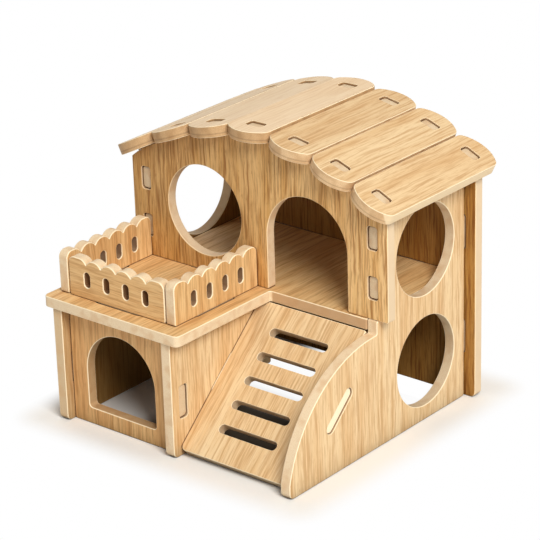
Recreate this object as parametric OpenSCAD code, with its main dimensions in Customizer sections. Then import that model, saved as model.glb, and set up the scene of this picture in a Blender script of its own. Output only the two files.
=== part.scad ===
// Wooden house for a hamster: a two-storey tower with a curved plank roof, a low annex with
// a railed balcony on top of it, and a slotted ramp that climbs from the ground to the door.
// Every piece is cut from one thickness of board and pushed together by tabs and slots.
//
// All modules are written in the house's own frame: X from the left end of the front wall,
// Y backwards from the front wall's outer face, Z up from the ground. to_origin() then sets
// the origin at the middle of the footprint, on the ground.

/* [Boards] */
// Thickness of every board
board_t = 4.8; // [4.2:0.1:5.6]
// Gap all round between a tab and the slot that takes it
fit_gap = 0.12; // [0.05:0.01:0.25]
// Radius on the corners of tabs and slots
tab_r = 1.2; // [0.6:0.1:1.8]
// How far the end of a tab stays below the face it comes out of
tab_recess = 0.75; // [0:0.05:1]
// Radius on the free corners of boards
board_r = 2.6; // [1:0.1:5]

/* [Tower] */
// Width of the front and back walls
tower_w = 135.8; // [110:0.1:170]
// Depth from the front wall's outer face to the back wall's outer face
tower_d = 65.6; // [54:0.1:80]
// Distance from an end of the front wall to the outer face of a side wall
side_inset = 5.25; // [4:0.05:8]
// Height of the top of the upper floor
floor_h = 56.3; // [48:0.1:68]
// Height of the flat middle plank's top above the upper floor
ridge_rise = 70.6; // [62:0.1:84]
// How far the floor sticks out in front of the door
lip_d = 1.0; // [0.5:0.1:3]

/* [Openings] */
// Diameter of the round windows
window_dia = 40; // [32:1:44]
// Height of the lower side windows' centres
low_window_z = 26.6; // [24:0.1:30]
// Height of the upper side windows' centres above the upper floor
high_window_rise = 20.25; // [18:0.05:24]
// Height of the balcony window's centre above the upper floor
balcony_window_rise = 27.4; // [23:0.1:32]
// Distance of the balcony window's centre from the front wall's left end
balcony_window_x = 40; // [34:0.5:42]
// Width of the door
door_w = 41.5; // [34:0.5:46]
// Height of the door
door_h = 45; // [36:0.5:48]
// Distance of the door's middle from the front wall's right end
door_from_right = 41.15; // [35:0.05:44]

/* [Annex] */
// How far the annex reaches out in front of the front wall
annex_d = 58.2; // [50:0.1:70]
// Width of the annex over its two side walls
annex_w = 64.75; // [60:0.05:72]
// How far the arch panel stands back from the front edges of the walls
panel_set_back = 4.5; // [2:0.1:8]
// Width of the annex arch
arch_w = 37.6; // [30:0.1:42]
// Height of the annex arch's top
arch_top = 43.9; // [38:0.1:46]
// Height of the annex arch's sill
arch_sill = 7.5; // [4:0.1:10]

/* [Ramp] */
// Length of a slot in the ramp
rung_w = 29.9; // [24:0.1:36]
// Width of a slot in the ramp
rung_h = 4.0; // [3:0.1:5]
// Distance between slots along the ramp
rung_pitch = 11.4; // [10:0.1:12]
// Number of slots
rung_count = 5; // [3:1:5]

/* [Roof] */
// Length of a plank from tip to tip
plank_len = 81.2; // [76:0.1:100]
// Depth of the rounded end of a plank
plank_nose = 4.7; // [3:0.1:8]
// Radius where the rounded end of a plank meets its sides
plank_fillet = 4; // [0.5:0.1:5]
// How far the middle plank stands above the planks beside it
ridge_lift = 0.7; // [0.1:0.1:1.5]
// Tilt of the planks next to the middle one
tilt_1 = 11; // [8:0.1:14]
// Tilt of the second planks from the middle
tilt_2 = 20.5; // [18:0.1:24]
// Tilt of the outer planks
tilt_3 = 26; // [21:0.1:30]
// Length across a plank of the tabs that hold it
roof_tab_w = 8; // [5:0.1:10]

/* [Balcony] */
// Height of a rail above the deck, at the tops of its scallops
rail_h = 18.4; // [14:0.1:22]
// How deep the scallops are cut
scallop_dip = 2.4; // [1.5:0.1:3]
// Height of an oval hole in a rail
oval_h = 6.8; // [5:0.1:8]
// Width of an oval hole in a rail
oval_w = 3.3; // [2.5:0.1:4]
// Length of a rail's tab
rail_tab = 24; // [16:0.5:28]

/* [Hidden] */
$fn = 64;
wood = [0.82, 0.63, 0.41];
wood_light = [0.85, 0.67, 0.45];
half_w = tower_w / 2;
inner_d = tower_d - board_t;
under_floor = floor_h - board_t;
// outer and inner faces of the side walls
left_out = side_inset;
left_in = side_inset + board_t;
right_out = tower_w - side_inset;
right_in = right_out - board_t;
// room left beside the floor and the ramp, and between the side walls and the back wall
play = 0.1;
back_play = 0.8;
// the annex, and how far the deck sticks out over its front and right sides
annex_out = side_inset + annex_w;
annex_in = annex_out - board_t;
deck_over_front = 1.4;
deck_over_right = 5.45;
slab_front = -annex_d - deck_over_front;
slab_left = 1.4;
slab_right = annex_out + deck_over_right;
panel_y = -annex_d + panel_set_back;
// the ramp: its top face runs from under the lip to the foot, and its angle is found from
// the climb and the run, because the square-cut foot stands up by the board's thickness
ramp_head_gap = 0.5;
ramp_foot_back = 3.3;
ramp_head_y = -lip_d - ramp_head_gap;
ramp_run = annex_d - ramp_foot_back + ramp_head_y;
ramp_a0 = atan(under_floor / ramp_run);
ramp_a1 = atan((under_floor - board_t * cos(ramp_a0)) / ramp_run);
ramp_a2 = atan((under_floor - board_t * cos(ramp_a1)) / ramp_run);
ramp_a = atan((under_floor - board_t * cos(ramp_a2)) / ramp_run);
ramp_len = ramp_run / cos(ramp_a);
ramp_tab = 0.29 * ramp_len;
ramp_tab_at = 0.485 * ramp_len;
rung_first = 0.171 * ramp_len;
// the wing: a quarter arc from the foot of the wall up to the lip
wing_below_floor = 5.9;
wing_centre_out = 2.6;
wing_under_lip = 0.4;
wing_top = floor_h - wing_below_floor;
wing_foot = 6.2;
wing_run = annex_d - wing_centre_out;
wing_cz = (wing_foot * wing_foot - wing_top * wing_top + wing_run * wing_run)
    / (2 * (wing_foot - wing_top));
wing_r = wing_top - wing_cz;
// the roof: its seven planks cover the front wall and reach out over both ends of it
ridge_h = floor_h + ridge_rise;
plank_w = 0.1546 * tower_w;
plank_pitch = plank_w + 1.1;
tilts = [0, tilt_1, tilt_2, tilt_3];
seat_gap = 0.05;
shoulder_drop = 0.8;
tab_root = 1.5;
seat_half = 0.33 * plank_w;
outer_seat = 1.5;
shoulder_w = 3.5;
shoulder_fall = 1;
side_top_gap = 0.3;
// the end of a plank is an arc, and a smaller arc rounds each of its corners
nose_r = (plank_w * plank_w / 4 + plank_nose * plank_nose) / (2 * plank_nose);
nose_c = plank_len / 2 - nose_r;
fillet_x = plank_w / 2 - plank_fillet;
fillet_y = nose_c + sqrt((nose_r - plank_fillet) ^ 2 - fillet_x ^ 2);
nose_x = fillet_x * nose_r / (nose_r - plank_fillet);
side_top = plank_line(3, right_out - half_w) - side_top_gap;
mid_y = (slab_front + tower_d / 2 + plank_len / 2) / 2;
// the tabs of the side walls, as middle height and length
upper_room_h = side_top - floor_h;
front_tabs = [[floor_h + 0.286 * upper_room_h, 10], [floor_h + 0.734 * upper_room_h, 10]];
back_tabs = [[0.49 * floor_h, 15.4], [floor_h + 0.393 * upper_room_h, 15.4]];
// the rails
rail_set_back = 6.2;
rail_front = -annex_d + rail_set_back;
rail_back = -0.1;
rail_run = rail_back - rail_front;
left_rail_out = 0.8;
right_rail_in = 1.8;
left_rail_x = left_out - left_rail_out;
right_rail_x = annex_in - right_rail_in;
rail_gap = 0.75;
rail_slack = 0.25;
rail_end_r = 3.2;
front_rail_lower = 0.9;

// the joint after plank n, counted from the middle one as 0
function seam(n) = n == 0 ? [plank_pitch / 2, ridge_h - ridge_lift]
    : seam(n - 1) + plank_pitch * [cos(tilts[n]), -sin(tilts[n])];
// the middle of plank n's top face
function plank_mid(n) = n == 0 ? [0, ridge_h] : (seam(n - 1) + seam(n)) / 2;
// a point at s across plank n from its middle and depth d below its top face
function on_plank(n, s, d) = plank_mid(n)
    + [s * cos(tilts[n]) - d * sin(tilts[n]), -s * sin(tilts[n]) - d * cos(tilts[n])];
// height of plank n's underside at x from the middle of the house
function plank_line(n, x) = on_plank(n, 0, board_t)[1]
    - (x - on_plank(n, 0, board_t)[0]) * tan(tilts[n]);
// height of the shoulder at x, a little below the outer plank
function shoulder(x) = plank_line(3, x) - shoulder_drop / cos(tilt_3);
// the top of a wall from the middle outwards: a flat seat under each plank, then the shoulder
function seats() = concat(
    [on_plank(0, seat_half, board_t + seat_gap)],
    [on_plank(0, seat_half, board_t + seat_gap + ridge_lift)],
    [for (n = [1, 2], s = [-1, 1]) on_plank(n, s * seat_half, board_t + seat_gap)],
    [on_plank(3, -seat_half, board_t + seat_gap)],
    [on_plank(3, outer_seat, board_t + seat_gap)],
    [on_plank(3, outer_seat, board_t + shoulder_drop)],
    [[half_w - shoulder_w, shoulder(half_w - shoulder_w)]],
    [[half_w, shoulder(half_w) - shoulder_fall]]);
function reversed(p) = [for (i = [len(p) - 1 : -1 : 0]) [-p[i][0], p[i][1]]];
// outline of the front or back wall, standing on height z
function gable(z) = [for (p = concat([[-half_w, z]], reversed(seats()), seats(), [[half_w, z]]))
    p + [half_w, 0]];

module to_origin() {
    translate([-half_w, -mid_y, 0]) children();
}

// Flat shapes -----------------------------------------------------------------------

// rectangle with rounded corners, centred
module soft_rect(w, h, r) {
    square([w - 2 * r, h], center = true);
    square([w, h - 2 * r], center = true);
    for (x = [-1, 1], y = [-1, 1]) {
        translate([x * (w / 2 - r), y * (h / 2 - r)]) circle(r);
    }
}

// slot with half-round ends, along X, centred
module long_hole(length, w) {
    square([length - w, w], center = true);
    for (x = [-1, 1]) {
        translate([x * (length - w) / 2, 0]) circle(w / 2);
    }
}

// what is taken off a corner at the origin of a board that lies towards +X and +Y
module corner_off(r) {
    difference() {
        translate([-1, -1]) square(r + 1);
        translate([r, r]) circle(r);
    }
}

// doorway with a half-round top, from its middle bottom upwards
module archway(w, h) {
    translate([-w / 2, 0]) square([w, h - w / 2]);
    intersection() {
        translate([0, h - w / 2]) circle(w / 2);
        translate([-w / 2, 0]) square([w, h]);
    }
}

// Boards and tabs --------------------------------------------------------------------

// a board whose outline is given in X and Z, from Y = 0 backwards
module board_xz(t) {
    translate([0, t, 0]) rotate([90, 0, 0]) linear_extrude(t) children();
}

// a board whose outline is given in Y and Z, from X = 0 to the right
module board_yz(t) {
    rotate([90, 0, 90]) linear_extrude(t) children();
}

// a tab that runs along Y between y0 and y1
module tab_y(x, z, w, h, y0, y1) {
    translate([x, y1, z]) rotate([90, 0, 0]) linear_extrude(y1 - y0) soft_rect(w, h, tab_r);
}

// a tab that runs along X between x0 and x1
module tab_x(y, z, w, h, x0, x1) {
    translate([x0, y, z]) rotate([90, 0, 90]) linear_extrude(x1 - x0) soft_rect(w, h, tab_r);
}

// a tab that runs up from z0 to z1
module tab_z(x, y, w, h, z0, z1) {
    translate([x, y, z0]) linear_extrude(z1 - z0) soft_rect(w, h, tab_r);
}

// the slot for a tab of that size, through a board
module slot_2d(w, h) {
    soft_rect(w + 2 * fit_gap, h + 2 * fit_gap, tab_r + fit_gap);
}

// the looser slot for a rail's tab, which drops in from above
module rail_slot(w, h) {
    slot_2d(w + 2 * rail_slack, h + 2 * rail_slack);
}

// Roof -------------------------------------------------------------------------------

// places a child on plank k, -3 at the left to 3 at the right: X across, Z off its top face
module on_roof(k) {
    n = abs(k);
    m = plank_mid(n);
    translate([half_w + sign(k) * m[0], 0, m[1]]) rotate([0, sign(k) * tilts[n], 0]) children();
}

// the tabs that stand up from a wall into every plank, on a wall from Y = 0 backwards
module roof_tabs() {
    for (k = [-3 : 3]) {
        on_roof(k) tab_z(0, board_t / 2, roof_tab_w, board_t, -board_t - tab_root, -tab_recess);
    }
}

module plank_outline() {
    square([plank_w, 2 * fillet_y], center = true);
    for (s = [-1, 1]) {
        for (x = [-fillet_x, fillet_x]) {
            translate([x, s * fillet_y]) circle(plank_fillet);
        }
        intersection() {
            translate([0, s * nose_c]) circle(nose_r);
            translate([0, s * plank_len / 2]) square([2 * nose_x, 2 * plank_nose], center = true);
        }
    }
}

module roof_plank(k) {
    color(abs(k) % 2 == 0 ? wood : wood_light) to_origin() on_roof(k)
        translate([0, 0, -board_t]) linear_extrude(board_t)
            difference() {
                translate([0, tower_d / 2]) plank_outline();
                for (y = [board_t / 2, tower_d - board_t / 2]) {
                    translate([0, y]) slot_2d(roof_tab_w, board_t);
                }
            }
}

// Tower ------------------------------------------------------------------------------

foot_tab_off = 2;
foot_tab_x = (slab_left + slab_right) / 2 + foot_tab_off;
foot_tab_w = 20;
slab_tab_w = 24;
slab_tab_out = 30;
slab_tabs_x = [half_w - slab_tab_out, half_w + slab_tab_out];

module front_wall() {
    color(wood) to_origin() union() {
        board_xz(board_t) difference() {
            polygon(gable(floor_h));
            translate([balcony_window_x, floor_h + balcony_window_rise]) circle(window_dia / 2);
            translate([tower_w - door_from_right, floor_h - 0.01]) archway(door_w, door_h + 0.01);
            for (x = [left_out + board_t / 2, right_out - board_t / 2], s = front_tabs) {
                translate([x, s[0]]) slot_2d(board_t, s[1]);
            }
        }
        roof_tabs();
        tab_z(foot_tab_x, board_t / 2, foot_tab_w, board_t,
            under_floor + tab_recess, floor_h + tab_root);
    }
}

module back_wall() {
    color(wood) to_origin() translate([0, inner_d, 0]) union() {
        board_xz(board_t) difference() {
            polygon(gable(0));
            corner_off(board_r);
            translate([tower_w, 0]) mirror([1, 0]) corner_off(board_r);
            for (x = [left_out + board_t / 2, right_out - board_t / 2], s = back_tabs) {
                translate([x, s[0]]) slot_2d(board_t, s[1]);
            }
            for (x = slab_tabs_x) {
                translate([x, floor_h - board_t / 2]) slot_2d(slab_tab_w, board_t);
            }
        }
        roof_tabs();
    }
}

// the round windows of a side wall, in Y and Z
module side_windows() {
    for (z = [low_window_z, floor_h + high_window_rise]) {
        translate([tower_d / 2, z]) circle(window_dia / 2);
    }
}

// the tabs at the front and back edges of a side wall whose outer left face is at x
module side_tabs(x) {
    for (s = front_tabs) {
        tab_y(x + board_t / 2, s[0], board_t, s[1], tab_recess, board_t + tab_root);
    }
    for (s = back_tabs) {
        tab_y(x + board_t / 2, s[0], board_t, s[1],
            inner_d - back_play - tab_root, tower_d - tab_recess);
    }
}

// the slot for the ramp's tab, in Y and Z
module ramp_tab_slot() {
    at = ramp_len - ramp_tab_at;
    translate([ramp_head_y - ramp_run, board_t * cos(ramp_a)]) rotate(ramp_a)
        translate([at, -board_t / 2]) long_hole(ramp_tab + 2 * fit_gap, board_t + 2 * fit_gap);
}

module right_side_wall() {
    color(wood_light) to_origin() union() {
        translate([right_in, 0, 0]) board_yz(board_t) difference() {
            union() {
                translate([board_t, 0]) square([inner_d - back_play - board_t, side_top]);
                translate([wing_under_lip - lip_d, 0])
                    square([board_t + lip_d - wing_under_lip, floor_h]);
                intersection() {
                    translate([-wing_centre_out, wing_cz]) circle(wing_r);
                    translate([-annex_d, 0]) square([annex_d, wing_top + 1]);
                }
            }
            side_windows();
            translate([-annex_d, 0]) corner_off(board_r);
            ramp_tab_slot();
        }
        side_tabs(right_in);
    }
}

module left_side_wall() {
    color(wood) to_origin() union() {
        translate([left_out, 0, 0]) board_yz(board_t) difference() {
            union() {
                translate([board_t, 0]) square([inner_d - back_play - board_t, side_top]);
                translate([-annex_d, 0]) square([annex_d + board_t, under_floor]);
            }
            side_windows();
            translate([-annex_d, 0]) corner_off(board_r);
            translate([panel_y + board_t / 2, panel_tab_z]) slot_2d(board_t, panel_tab_h);
        }
        side_tabs(left_out);
    }
}

module floor_slab() {
    color(wood_light) to_origin() union() {
        translate([0, 0, under_floor]) linear_extrude(board_t) difference() {
            union() {
                translate([slab_left, slab_front])
                    square([slab_right - slab_left, board_t - slab_front - play]);
                translate([left_in + play, -lip_d])
                    square([right_in - left_in - 2 * play, inner_d + lip_d]);
            }
            translate([slab_left, slab_front]) corner_off(board_r);
            translate([slab_right, slab_front]) mirror([1, 0]) corner_off(board_r);
            translate([foot_tab_x, board_t / 2]) slot_2d(foot_tab_w, board_t);
            for (x = [left_rail_x, right_rail_x]) {
                translate([x + board_t / 2, side_rail_tab_y]) rail_slot(board_t, rail_tab);
            }
            translate([front_rail_mid, rail_front + board_t / 2]) rail_slot(rail_tab, board_t);
        }
        for (x = slab_tabs_x) {
            tab_y(x, floor_h - board_t / 2, slab_tab_w, board_t,
                inner_d - tab_root, tower_d - tab_recess);
        }
    }
}

// Annex ------------------------------------------------------------------------------

panel_tab_z = 0.46 * under_floor;
panel_tab_h = 14.6;
passage_d = 23.8;
passage_h = 20;

module annex_right_wall() {
    color(wood_light) to_origin() translate([annex_in, 0, 0]) board_yz(board_t) difference() {
        translate([-annex_d, 0]) square([annex_d + board_t, under_floor]);
        translate([-annex_d, 0]) corner_off(board_r);
        translate([panel_y + board_t / 2, panel_tab_z]) slot_2d(board_t, panel_tab_h);
        ramp_tab_slot();
        difference() {
            translate([board_t - passage_d, -1]) square([passage_d + 1, passage_h + 1]);
            translate([board_t - passage_d, passage_h]) mirror([0, 1]) corner_off(2 * board_r);
        }
    }
}

module annex_arch_panel() {
    inner = annex_in - left_in;
    color(wood) to_origin() union() {
        translate([left_in, panel_y, 0]) board_xz(board_t) difference() {
            square([inner, under_floor]);
            difference() {
                translate([inner / 2, arch_sill]) archway(arch_w, arch_top - arch_sill);
                for (s = [-1, 1]) {
                    translate([inner / 2 + s * arch_w / 2, arch_sill])
                        mirror([s > 0 ? 1 : 0, 0]) corner_off(board_r / 2);
                }
            }
        }
        tab_x(panel_y + board_t / 2, panel_tab_z, board_t, panel_tab_h,
            left_out + tab_recess, left_in + tab_root);
        tab_x(panel_y + board_t / 2, panel_tab_z, board_t, panel_tab_h,
            annex_in - tab_root, annex_out - tab_recess);
    }
}

// Ramp -------------------------------------------------------------------------------

// places a child on the ramp: X across the house, Y up the slope from the foot, Z off the top
module on_ramp() {
    translate([0, ramp_head_y - ramp_run, board_t * cos(ramp_a)]) rotate([ramp_a, 0, 0])
        children();
}

module ramp() {
    x0 = annex_out + play;
    w = right_in - annex_out - 2 * play;
    tab_w = board_t + 2 * tab_root - tab_recess;
    color(wood_light) to_origin() on_ramp() union() {
        translate([x0, 0, -board_t]) linear_extrude(board_t) difference() {
            square([w, ramp_len]);
            corner_off(board_r);
            translate([w, 0]) mirror([1, 0]) corner_off(board_r);
            for (i = [0 : rung_count - 1]) {
                translate([w / 2, ramp_len - rung_first - i * rung_pitch])
                    long_hole(rung_w, rung_h);
            }
        }
        // the tabs are round-ended and fit the walls on both sides
        for (x = [annex_in + tab_recess, right_in - 2 * tab_root]) {
            translate([x, ramp_len - ramp_tab_at, -board_t / 2]) rotate([90, 0, 90])
                linear_extrude(tab_w) long_hole(ramp_tab, board_t);
        }
    }
}

// Balcony ----------------------------------------------------------------------------

side_rail_tab_y = rail_front + 0.48 * rail_run;
front_rail_x0 = left_rail_x + board_t + rail_gap;
front_rail_w = right_rail_x - front_rail_x0 - rail_gap;
front_rail_mid = front_rail_x0 + front_rail_w / 2;

// the outer half of a rail's end bump, rounded at its corner, from the lower corner inwards
module rail_end(w, h) {
    square([w, h - rail_end_r]);
    translate([rail_end_r, 0]) square([w - rail_end_r, h]);
    translate([rail_end_r, h - rail_end_r]) circle(rail_end_r);
}

// outline of a rail from its lower left corner: bumps along the top and a row of ovals
module rail_outline(length, bumps, first, pitch, ovals, oval_first, oval_pitch, h) {
    bump_r = (pitch * pitch / 4 + scallop_dip * scallop_dip) / (2 * scallop_dip);
    difference() {
        union() {
            square([length, h - 1.6 * scallop_dip]);
            intersection() {
                square([length, h]);
                for (i = [0 : bumps - 1]) {
                    translate([first + i * pitch, h - bump_r]) circle(bump_r);
                }
            }
            rail_end(first, h);
            translate([length, 0]) mirror([1, 0]) rail_end(length - first - (bumps - 1) * pitch, h);
        }
        for (i = [0 : ovals - 1]) {
            translate([oval_first + i * oval_pitch, 0.46 * rail_h]) rotate(90)
                long_hole(oval_h, oval_w);
        }
    }
}

// a rail that runs backwards from rail_front, with its left face at x
module side_rail(x) {
    color(wood) to_origin() union() {
        translate([x, rail_front, floor_h]) board_yz(board_t)
            rail_outline(rail_run, 6, 0.086 * rail_run, 0.165 * rail_run,
                4, 0.23 * rail_run, 0.188 * rail_run, rail_h);
        tab_z(x + board_t / 2, side_rail_tab_y, board_t, rail_tab,
            under_floor + tab_recess, floor_h + tab_root);
    }
}

module balcony_front_rail() {
    color(wood_light) to_origin() union() {
        translate([front_rail_x0, rail_front, floor_h]) board_xz(board_t)
            rail_outline(front_rail_w, 6, 0.108 * front_rail_w, 0.1575 * front_rail_w,
                4, 0.19 * front_rail_w, 0.204 * front_rail_w,
                rail_h - front_rail_lower);
        tab_z(front_rail_mid, rail_front + board_t / 2, rail_tab, board_t,
            under_floor + tab_recess, floor_h + tab_root);
    }
}

front_wall();
back_wall();
left_side_wall();
right_side_wall();
floor_slab();
annex_right_wall();
annex_arch_panel();
ramp();
roof_plank(-3);  // roof_plank_1
roof_plank(-2);  // roof_plank_2
roof_plank(-1);  // roof_plank_3
roof_plank(0);  // roof_plank_4
roof_plank(1);  // roof_plank_5
roof_plank(2);  // roof_plank_6
roof_plank(3);  // roof_plank_7
balcony_front_rail();
side_rail(left_rail_x);  // balcony_left_rail
side_rail(right_rail_x);  // balcony_right_rail
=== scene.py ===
"""Looks of the wooden hamster house: every board as a sanded, soft-edged piece with its grain.

The boards are drawn in the house's own frame in millimetres, as the construction is: X from
the left end of the front wall, Y backwards from its outer face, Z up from the ground.
"""

import logging
import math
from collections.abc import Callable
from dataclasses import dataclass, field
from enum import Enum
from functools import partial

import bpy
from mathutils import Euler, Matrix, Vector
from mathutils.geometry import tessellate_polygon


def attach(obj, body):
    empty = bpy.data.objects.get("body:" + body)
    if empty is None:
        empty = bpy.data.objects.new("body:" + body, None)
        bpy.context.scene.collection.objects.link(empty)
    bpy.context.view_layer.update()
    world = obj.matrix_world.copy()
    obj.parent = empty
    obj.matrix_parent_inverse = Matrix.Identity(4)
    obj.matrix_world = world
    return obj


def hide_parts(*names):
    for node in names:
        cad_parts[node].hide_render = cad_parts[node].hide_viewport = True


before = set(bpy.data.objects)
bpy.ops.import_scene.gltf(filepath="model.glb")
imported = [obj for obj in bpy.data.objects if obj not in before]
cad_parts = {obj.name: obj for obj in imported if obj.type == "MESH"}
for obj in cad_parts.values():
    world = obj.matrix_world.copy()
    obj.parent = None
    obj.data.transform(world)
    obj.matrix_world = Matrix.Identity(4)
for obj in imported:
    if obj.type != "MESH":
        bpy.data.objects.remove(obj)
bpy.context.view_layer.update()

LOG = logging.getLogger("hamster_house")
MM = 0.001
SMOOTH = {"interpolation_type": "SMOOTHSTEP"}  # a ramp that starts and ends softly
Point = tuple[float, float]
Loop = list[Point]
Finish = bpy.types.Material
Mesh = bpy.types.Mesh
Node = bpy.types.Node
Tree = bpy.types.NodeTree
Put = Callable[..., Node]

# Sizes -------------------------------------------------------------------------------


@dataclass(frozen=True)
class HouseSizes:
    """Sizes of the whole house in millimetres, the same as the construction's."""

    board: float = 4.8  # thickness of every board
    gap: float = 0.12  # clearance round a tab
    play: float = 0.1  # clearance beside a board that stands between two others
    tab_r: float = 1.2  # corner radius of a tab
    recess: float = 0.75  # depth of a tab's end below the face around it
    root: float = 1.5  # length of a tab inside its own board
    corner: float = 2.6  # radius of a board's round corners
    width: float = 135.8
    depth: float = 65.6
    inset: float = 5.25  # side walls behind the ends of the front and back walls
    short: float = 0.8  # side walls before the back wall
    floor: float = 56.3
    ridge_rise: float = 70.6
    ridge_lift: float = 0.7  # middle plank above the line of the others
    lip: float = 1.0  # floor board before the door
    window: float = 40.0
    annex_depth: float = 58.2
    annex_width: float = 64.75
    deck_x: float = 1.4  # left edge of the deck
    deck_side: float = 5.45  # deck past the annex's right wall
    deck_front: float = 1.4  # deck past the annex's front
    deck_tab: float = 24.0  # length of the floor board's rear tabs
    deck_tab_x: float = 30.0  # their distance from the middle
    foot_tab: float = 20.0  # length of the front wall's tab in the floor board
    plank_share: float = 0.1546  # width of a plank, as a share of the front wall's width
    plank_gap: float = 1.1  # room between two planks, seen from above
    plank_len: float = 81.2
    nose: float = 4.7  # height of the arc at a plank's end
    fillet: float = 4.0  # radius between that arc and the plank's sides
    tilts: tuple[float, ...] = (0.0, 11.0, 20.5, 26.0)
    roof_tab: float = 8.0

    @property
    def half(self) -> float:
        """Half the width of the front wall."""
        return self.width / 2

    @property
    def inner_depth(self) -> float:
        """Y of the back wall's inner face."""
        return self.depth - self.board

    @property
    def under(self) -> float:
        """Height of the upper floor's underside."""
        return self.floor - self.board

    @property
    def left_in(self) -> float:
        """X of the left side wall's inner face."""
        return self.inset + self.board

    @property
    def right_in(self) -> float:
        """X of the right side wall's inner face."""
        return self.width - self.inset - self.board

    @property
    def walls_x(self) -> Point:
        """X of the middles of the two side walls."""
        return self.inset + self.board / 2, self.width - self.inset - self.board / 2

    @property
    def annex_out(self) -> float:
        """X of the annex's right wall's outer face."""
        return self.inset + self.annex_width

    @property
    def annex_in(self) -> float:
        """X of the annex's right wall's inner face."""
        return self.annex_out - self.board

    @property
    def deck_end(self) -> float:
        """X of the deck's right edge."""
        return self.annex_out + self.deck_side

    @property
    def foot_x(self) -> float:
        """X of the front wall's tab in the floor board."""
        return (self.deck_x + self.deck_end) / 2 + 2

    @property
    def plank_w(self) -> float:
        """Width of a roof plank."""
        return self.plank_share * self.width

    @property
    def pitch(self) -> float:
        """Distance between the joints of the roof planks."""
        return self.plank_w + self.plank_gap

    @property
    def middle_y(self) -> float:
        """Y of the middle of the footprint."""
        return (-self.annex_depth - self.deck_front + self.depth / 2 + self.plank_len / 2) / 2


S = HouseSizes()


def to_row(p: Vector) -> Vector:
    """Takes a point from the house's frame in millimetres to the row frame in metres."""
    return Vector((p.x - S.half, p.y - S.middle_y, p.z)) * MM


def placed(name: str, data: bpy.types.ID) -> bpy.types.Object:
    """Puts a new object into the scene.

    Args:
        name: Its name.
        data: Its mesh, lamp or camera.

    Returns:
        The object.
    """
    obj = bpy.data.objects.new(name, data)
    bpy.context.scene.collection.objects.link(obj)
    return obj


# Flat outlines -----------------------------------------------------------------------


def arc(cx: float, cy: float, r: float, a0: float, a1: float, steps: int) -> Loop:
    """Gives points on an arc.

    Args:
        cx: Centre across.
        cy: Centre up.
        r: Radius.
        a0: First angle in degrees.
        a1: Last angle in degrees.
        steps: Number of pieces.

    Returns:
        The points, both ends included.
    """
    turns = [math.radians(a0 + (a1 - a0) * i / steps) for i in range(steps + 1)]
    return [(cx + r * math.cos(t), cy + r * math.sin(t)) for t in turns]


def long_hole(cx: float, cy: float, length: float, w: float, turn: float = 0.0) -> Loop:
    """Gives a slot with half-round ends.

    Args:
        cx: Centre across.
        cy: Centre up.
        length: Length from end to end.
        w: Width.
        turn: Angle of its length in degrees.

    Returns:
        The points of the slot.
    """
    s = (length - w) / 2
    pts = arc(s, 0, w / 2, -90, 90, 14) + arc(-s, 0, w / 2, 90, 270, 14)
    c, n = math.cos(math.radians(turn)), math.sin(math.radians(turn))
    return [(cx + x * c - y * n, cy + x * n + y * c) for x, y in pts]


def slot(cx: float, cy: float, w: float, h: float) -> Loop:
    """Gives the slot that takes a tab.

    Args:
        cx: Centre across.
        cy: Centre up.
        w: Width of the tab.
        h: Height of the tab.

    Returns:
        A rectangle with rounded corners, larger than the tab by its clearance.
    """
    r = S.tab_r + S.gap
    x, y = w / 2 + S.gap - r, h / 2 + S.gap - r
    pts: Loop = []
    for sx, sy, a in ((1, -1, -90), (1, 1, 0), (-1, 1, 90), (-1, -1, 180)):
        pts += arc(cx + sx * x, cy + sy * y, r, a, a + 90, 6)
    return pts


def area(loop: Loop) -> float:
    """Gives the signed area of a loop, positive if it runs counter-clockwise."""
    return sum(a[0] * b[1] - b[0] * a[1] for a, b in zip(loop, loop[1:] + loop[:1])) / 2


def soften(loop: Loop, r: float, least: float = 16.0) -> Loop:
    """Rounds every corner of a loop that turns by more than a small angle.

    Args:
        loop: The corners.
        r: Radius wanted, which short sides make smaller.
        least: Smallest turn, in degrees, that is rounded.

    Returns:
        The loop with arcs in place of its corners.
    """
    clean = [p for i, p in enumerate(loop) if math.dist(p, loop[i - 1]) > 1e-4]
    out: Loop = []
    for i, p in enumerate(clean):
        v = Vector(p)
        e0, e1 = v - Vector(clean[i - 1]), Vector(clean[(i + 1) % len(clean)]) - v
        turn = math.atan2(e0.x * e1.y - e0.y * e1.x, e0.dot(e1))
        if abs(turn) < math.radians(least):
            out.append(p)
            continue
        half = math.tan(abs(turn) / 2)
        cut = min(r * half, 0.48 * e0.length, 0.48 * e1.length)
        n = Vector((-e0.y, e0.x)).normalized() * math.copysign(1, turn)
        c = v - e0.normalized() * cut + n * (cut / half)
        a0 = math.degrees(math.atan2(-n.y, -n.x))
        steps = max(2, math.ceil(abs(turn) / math.radians(15)))
        out += arc(c.x, c.y, cut / half, a0, a0 + math.degrees(turn), steps)
    return out


def shifted(loop: Loop, d: float) -> Loop:
    """Moves a loop inwards into the wood, along the bisector at each point.

    Args:
        loop: The loop, with the wood on its left.
        d: Distance.

    Returns:
        The moved loop, point for point.
    """
    out: Loop = []
    for i, p in enumerate(loop):
        v = Vector(p)
        e0 = (v - Vector(loop[i - 1])).normalized()
        e1 = (Vector(loop[(i + 1) % len(loop)]) - v).normalized()
        n0, n1 = Vector((-e0.y, e0.x)), Vector((-e1.y, e1.x))
        m = n0 + n1
        m = m.normalized() if m.length > 1e-6 else n0
        out.append(tuple(v + m * (d / max(0.6, m.dot(n0)))))
    return out


# Boards ------------------------------------------------------------------------------


class Face(Enum):
    """The way a board stands: its outline's two axes."""

    FRONT = "x and z"
    SIDE = "y and z"
    FLAT = "x and y"


class ShadedFace(Enum):
    """The face of a board that looks into the house, which gets painted shade."""

    LOW = False
    HIGH = True


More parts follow.
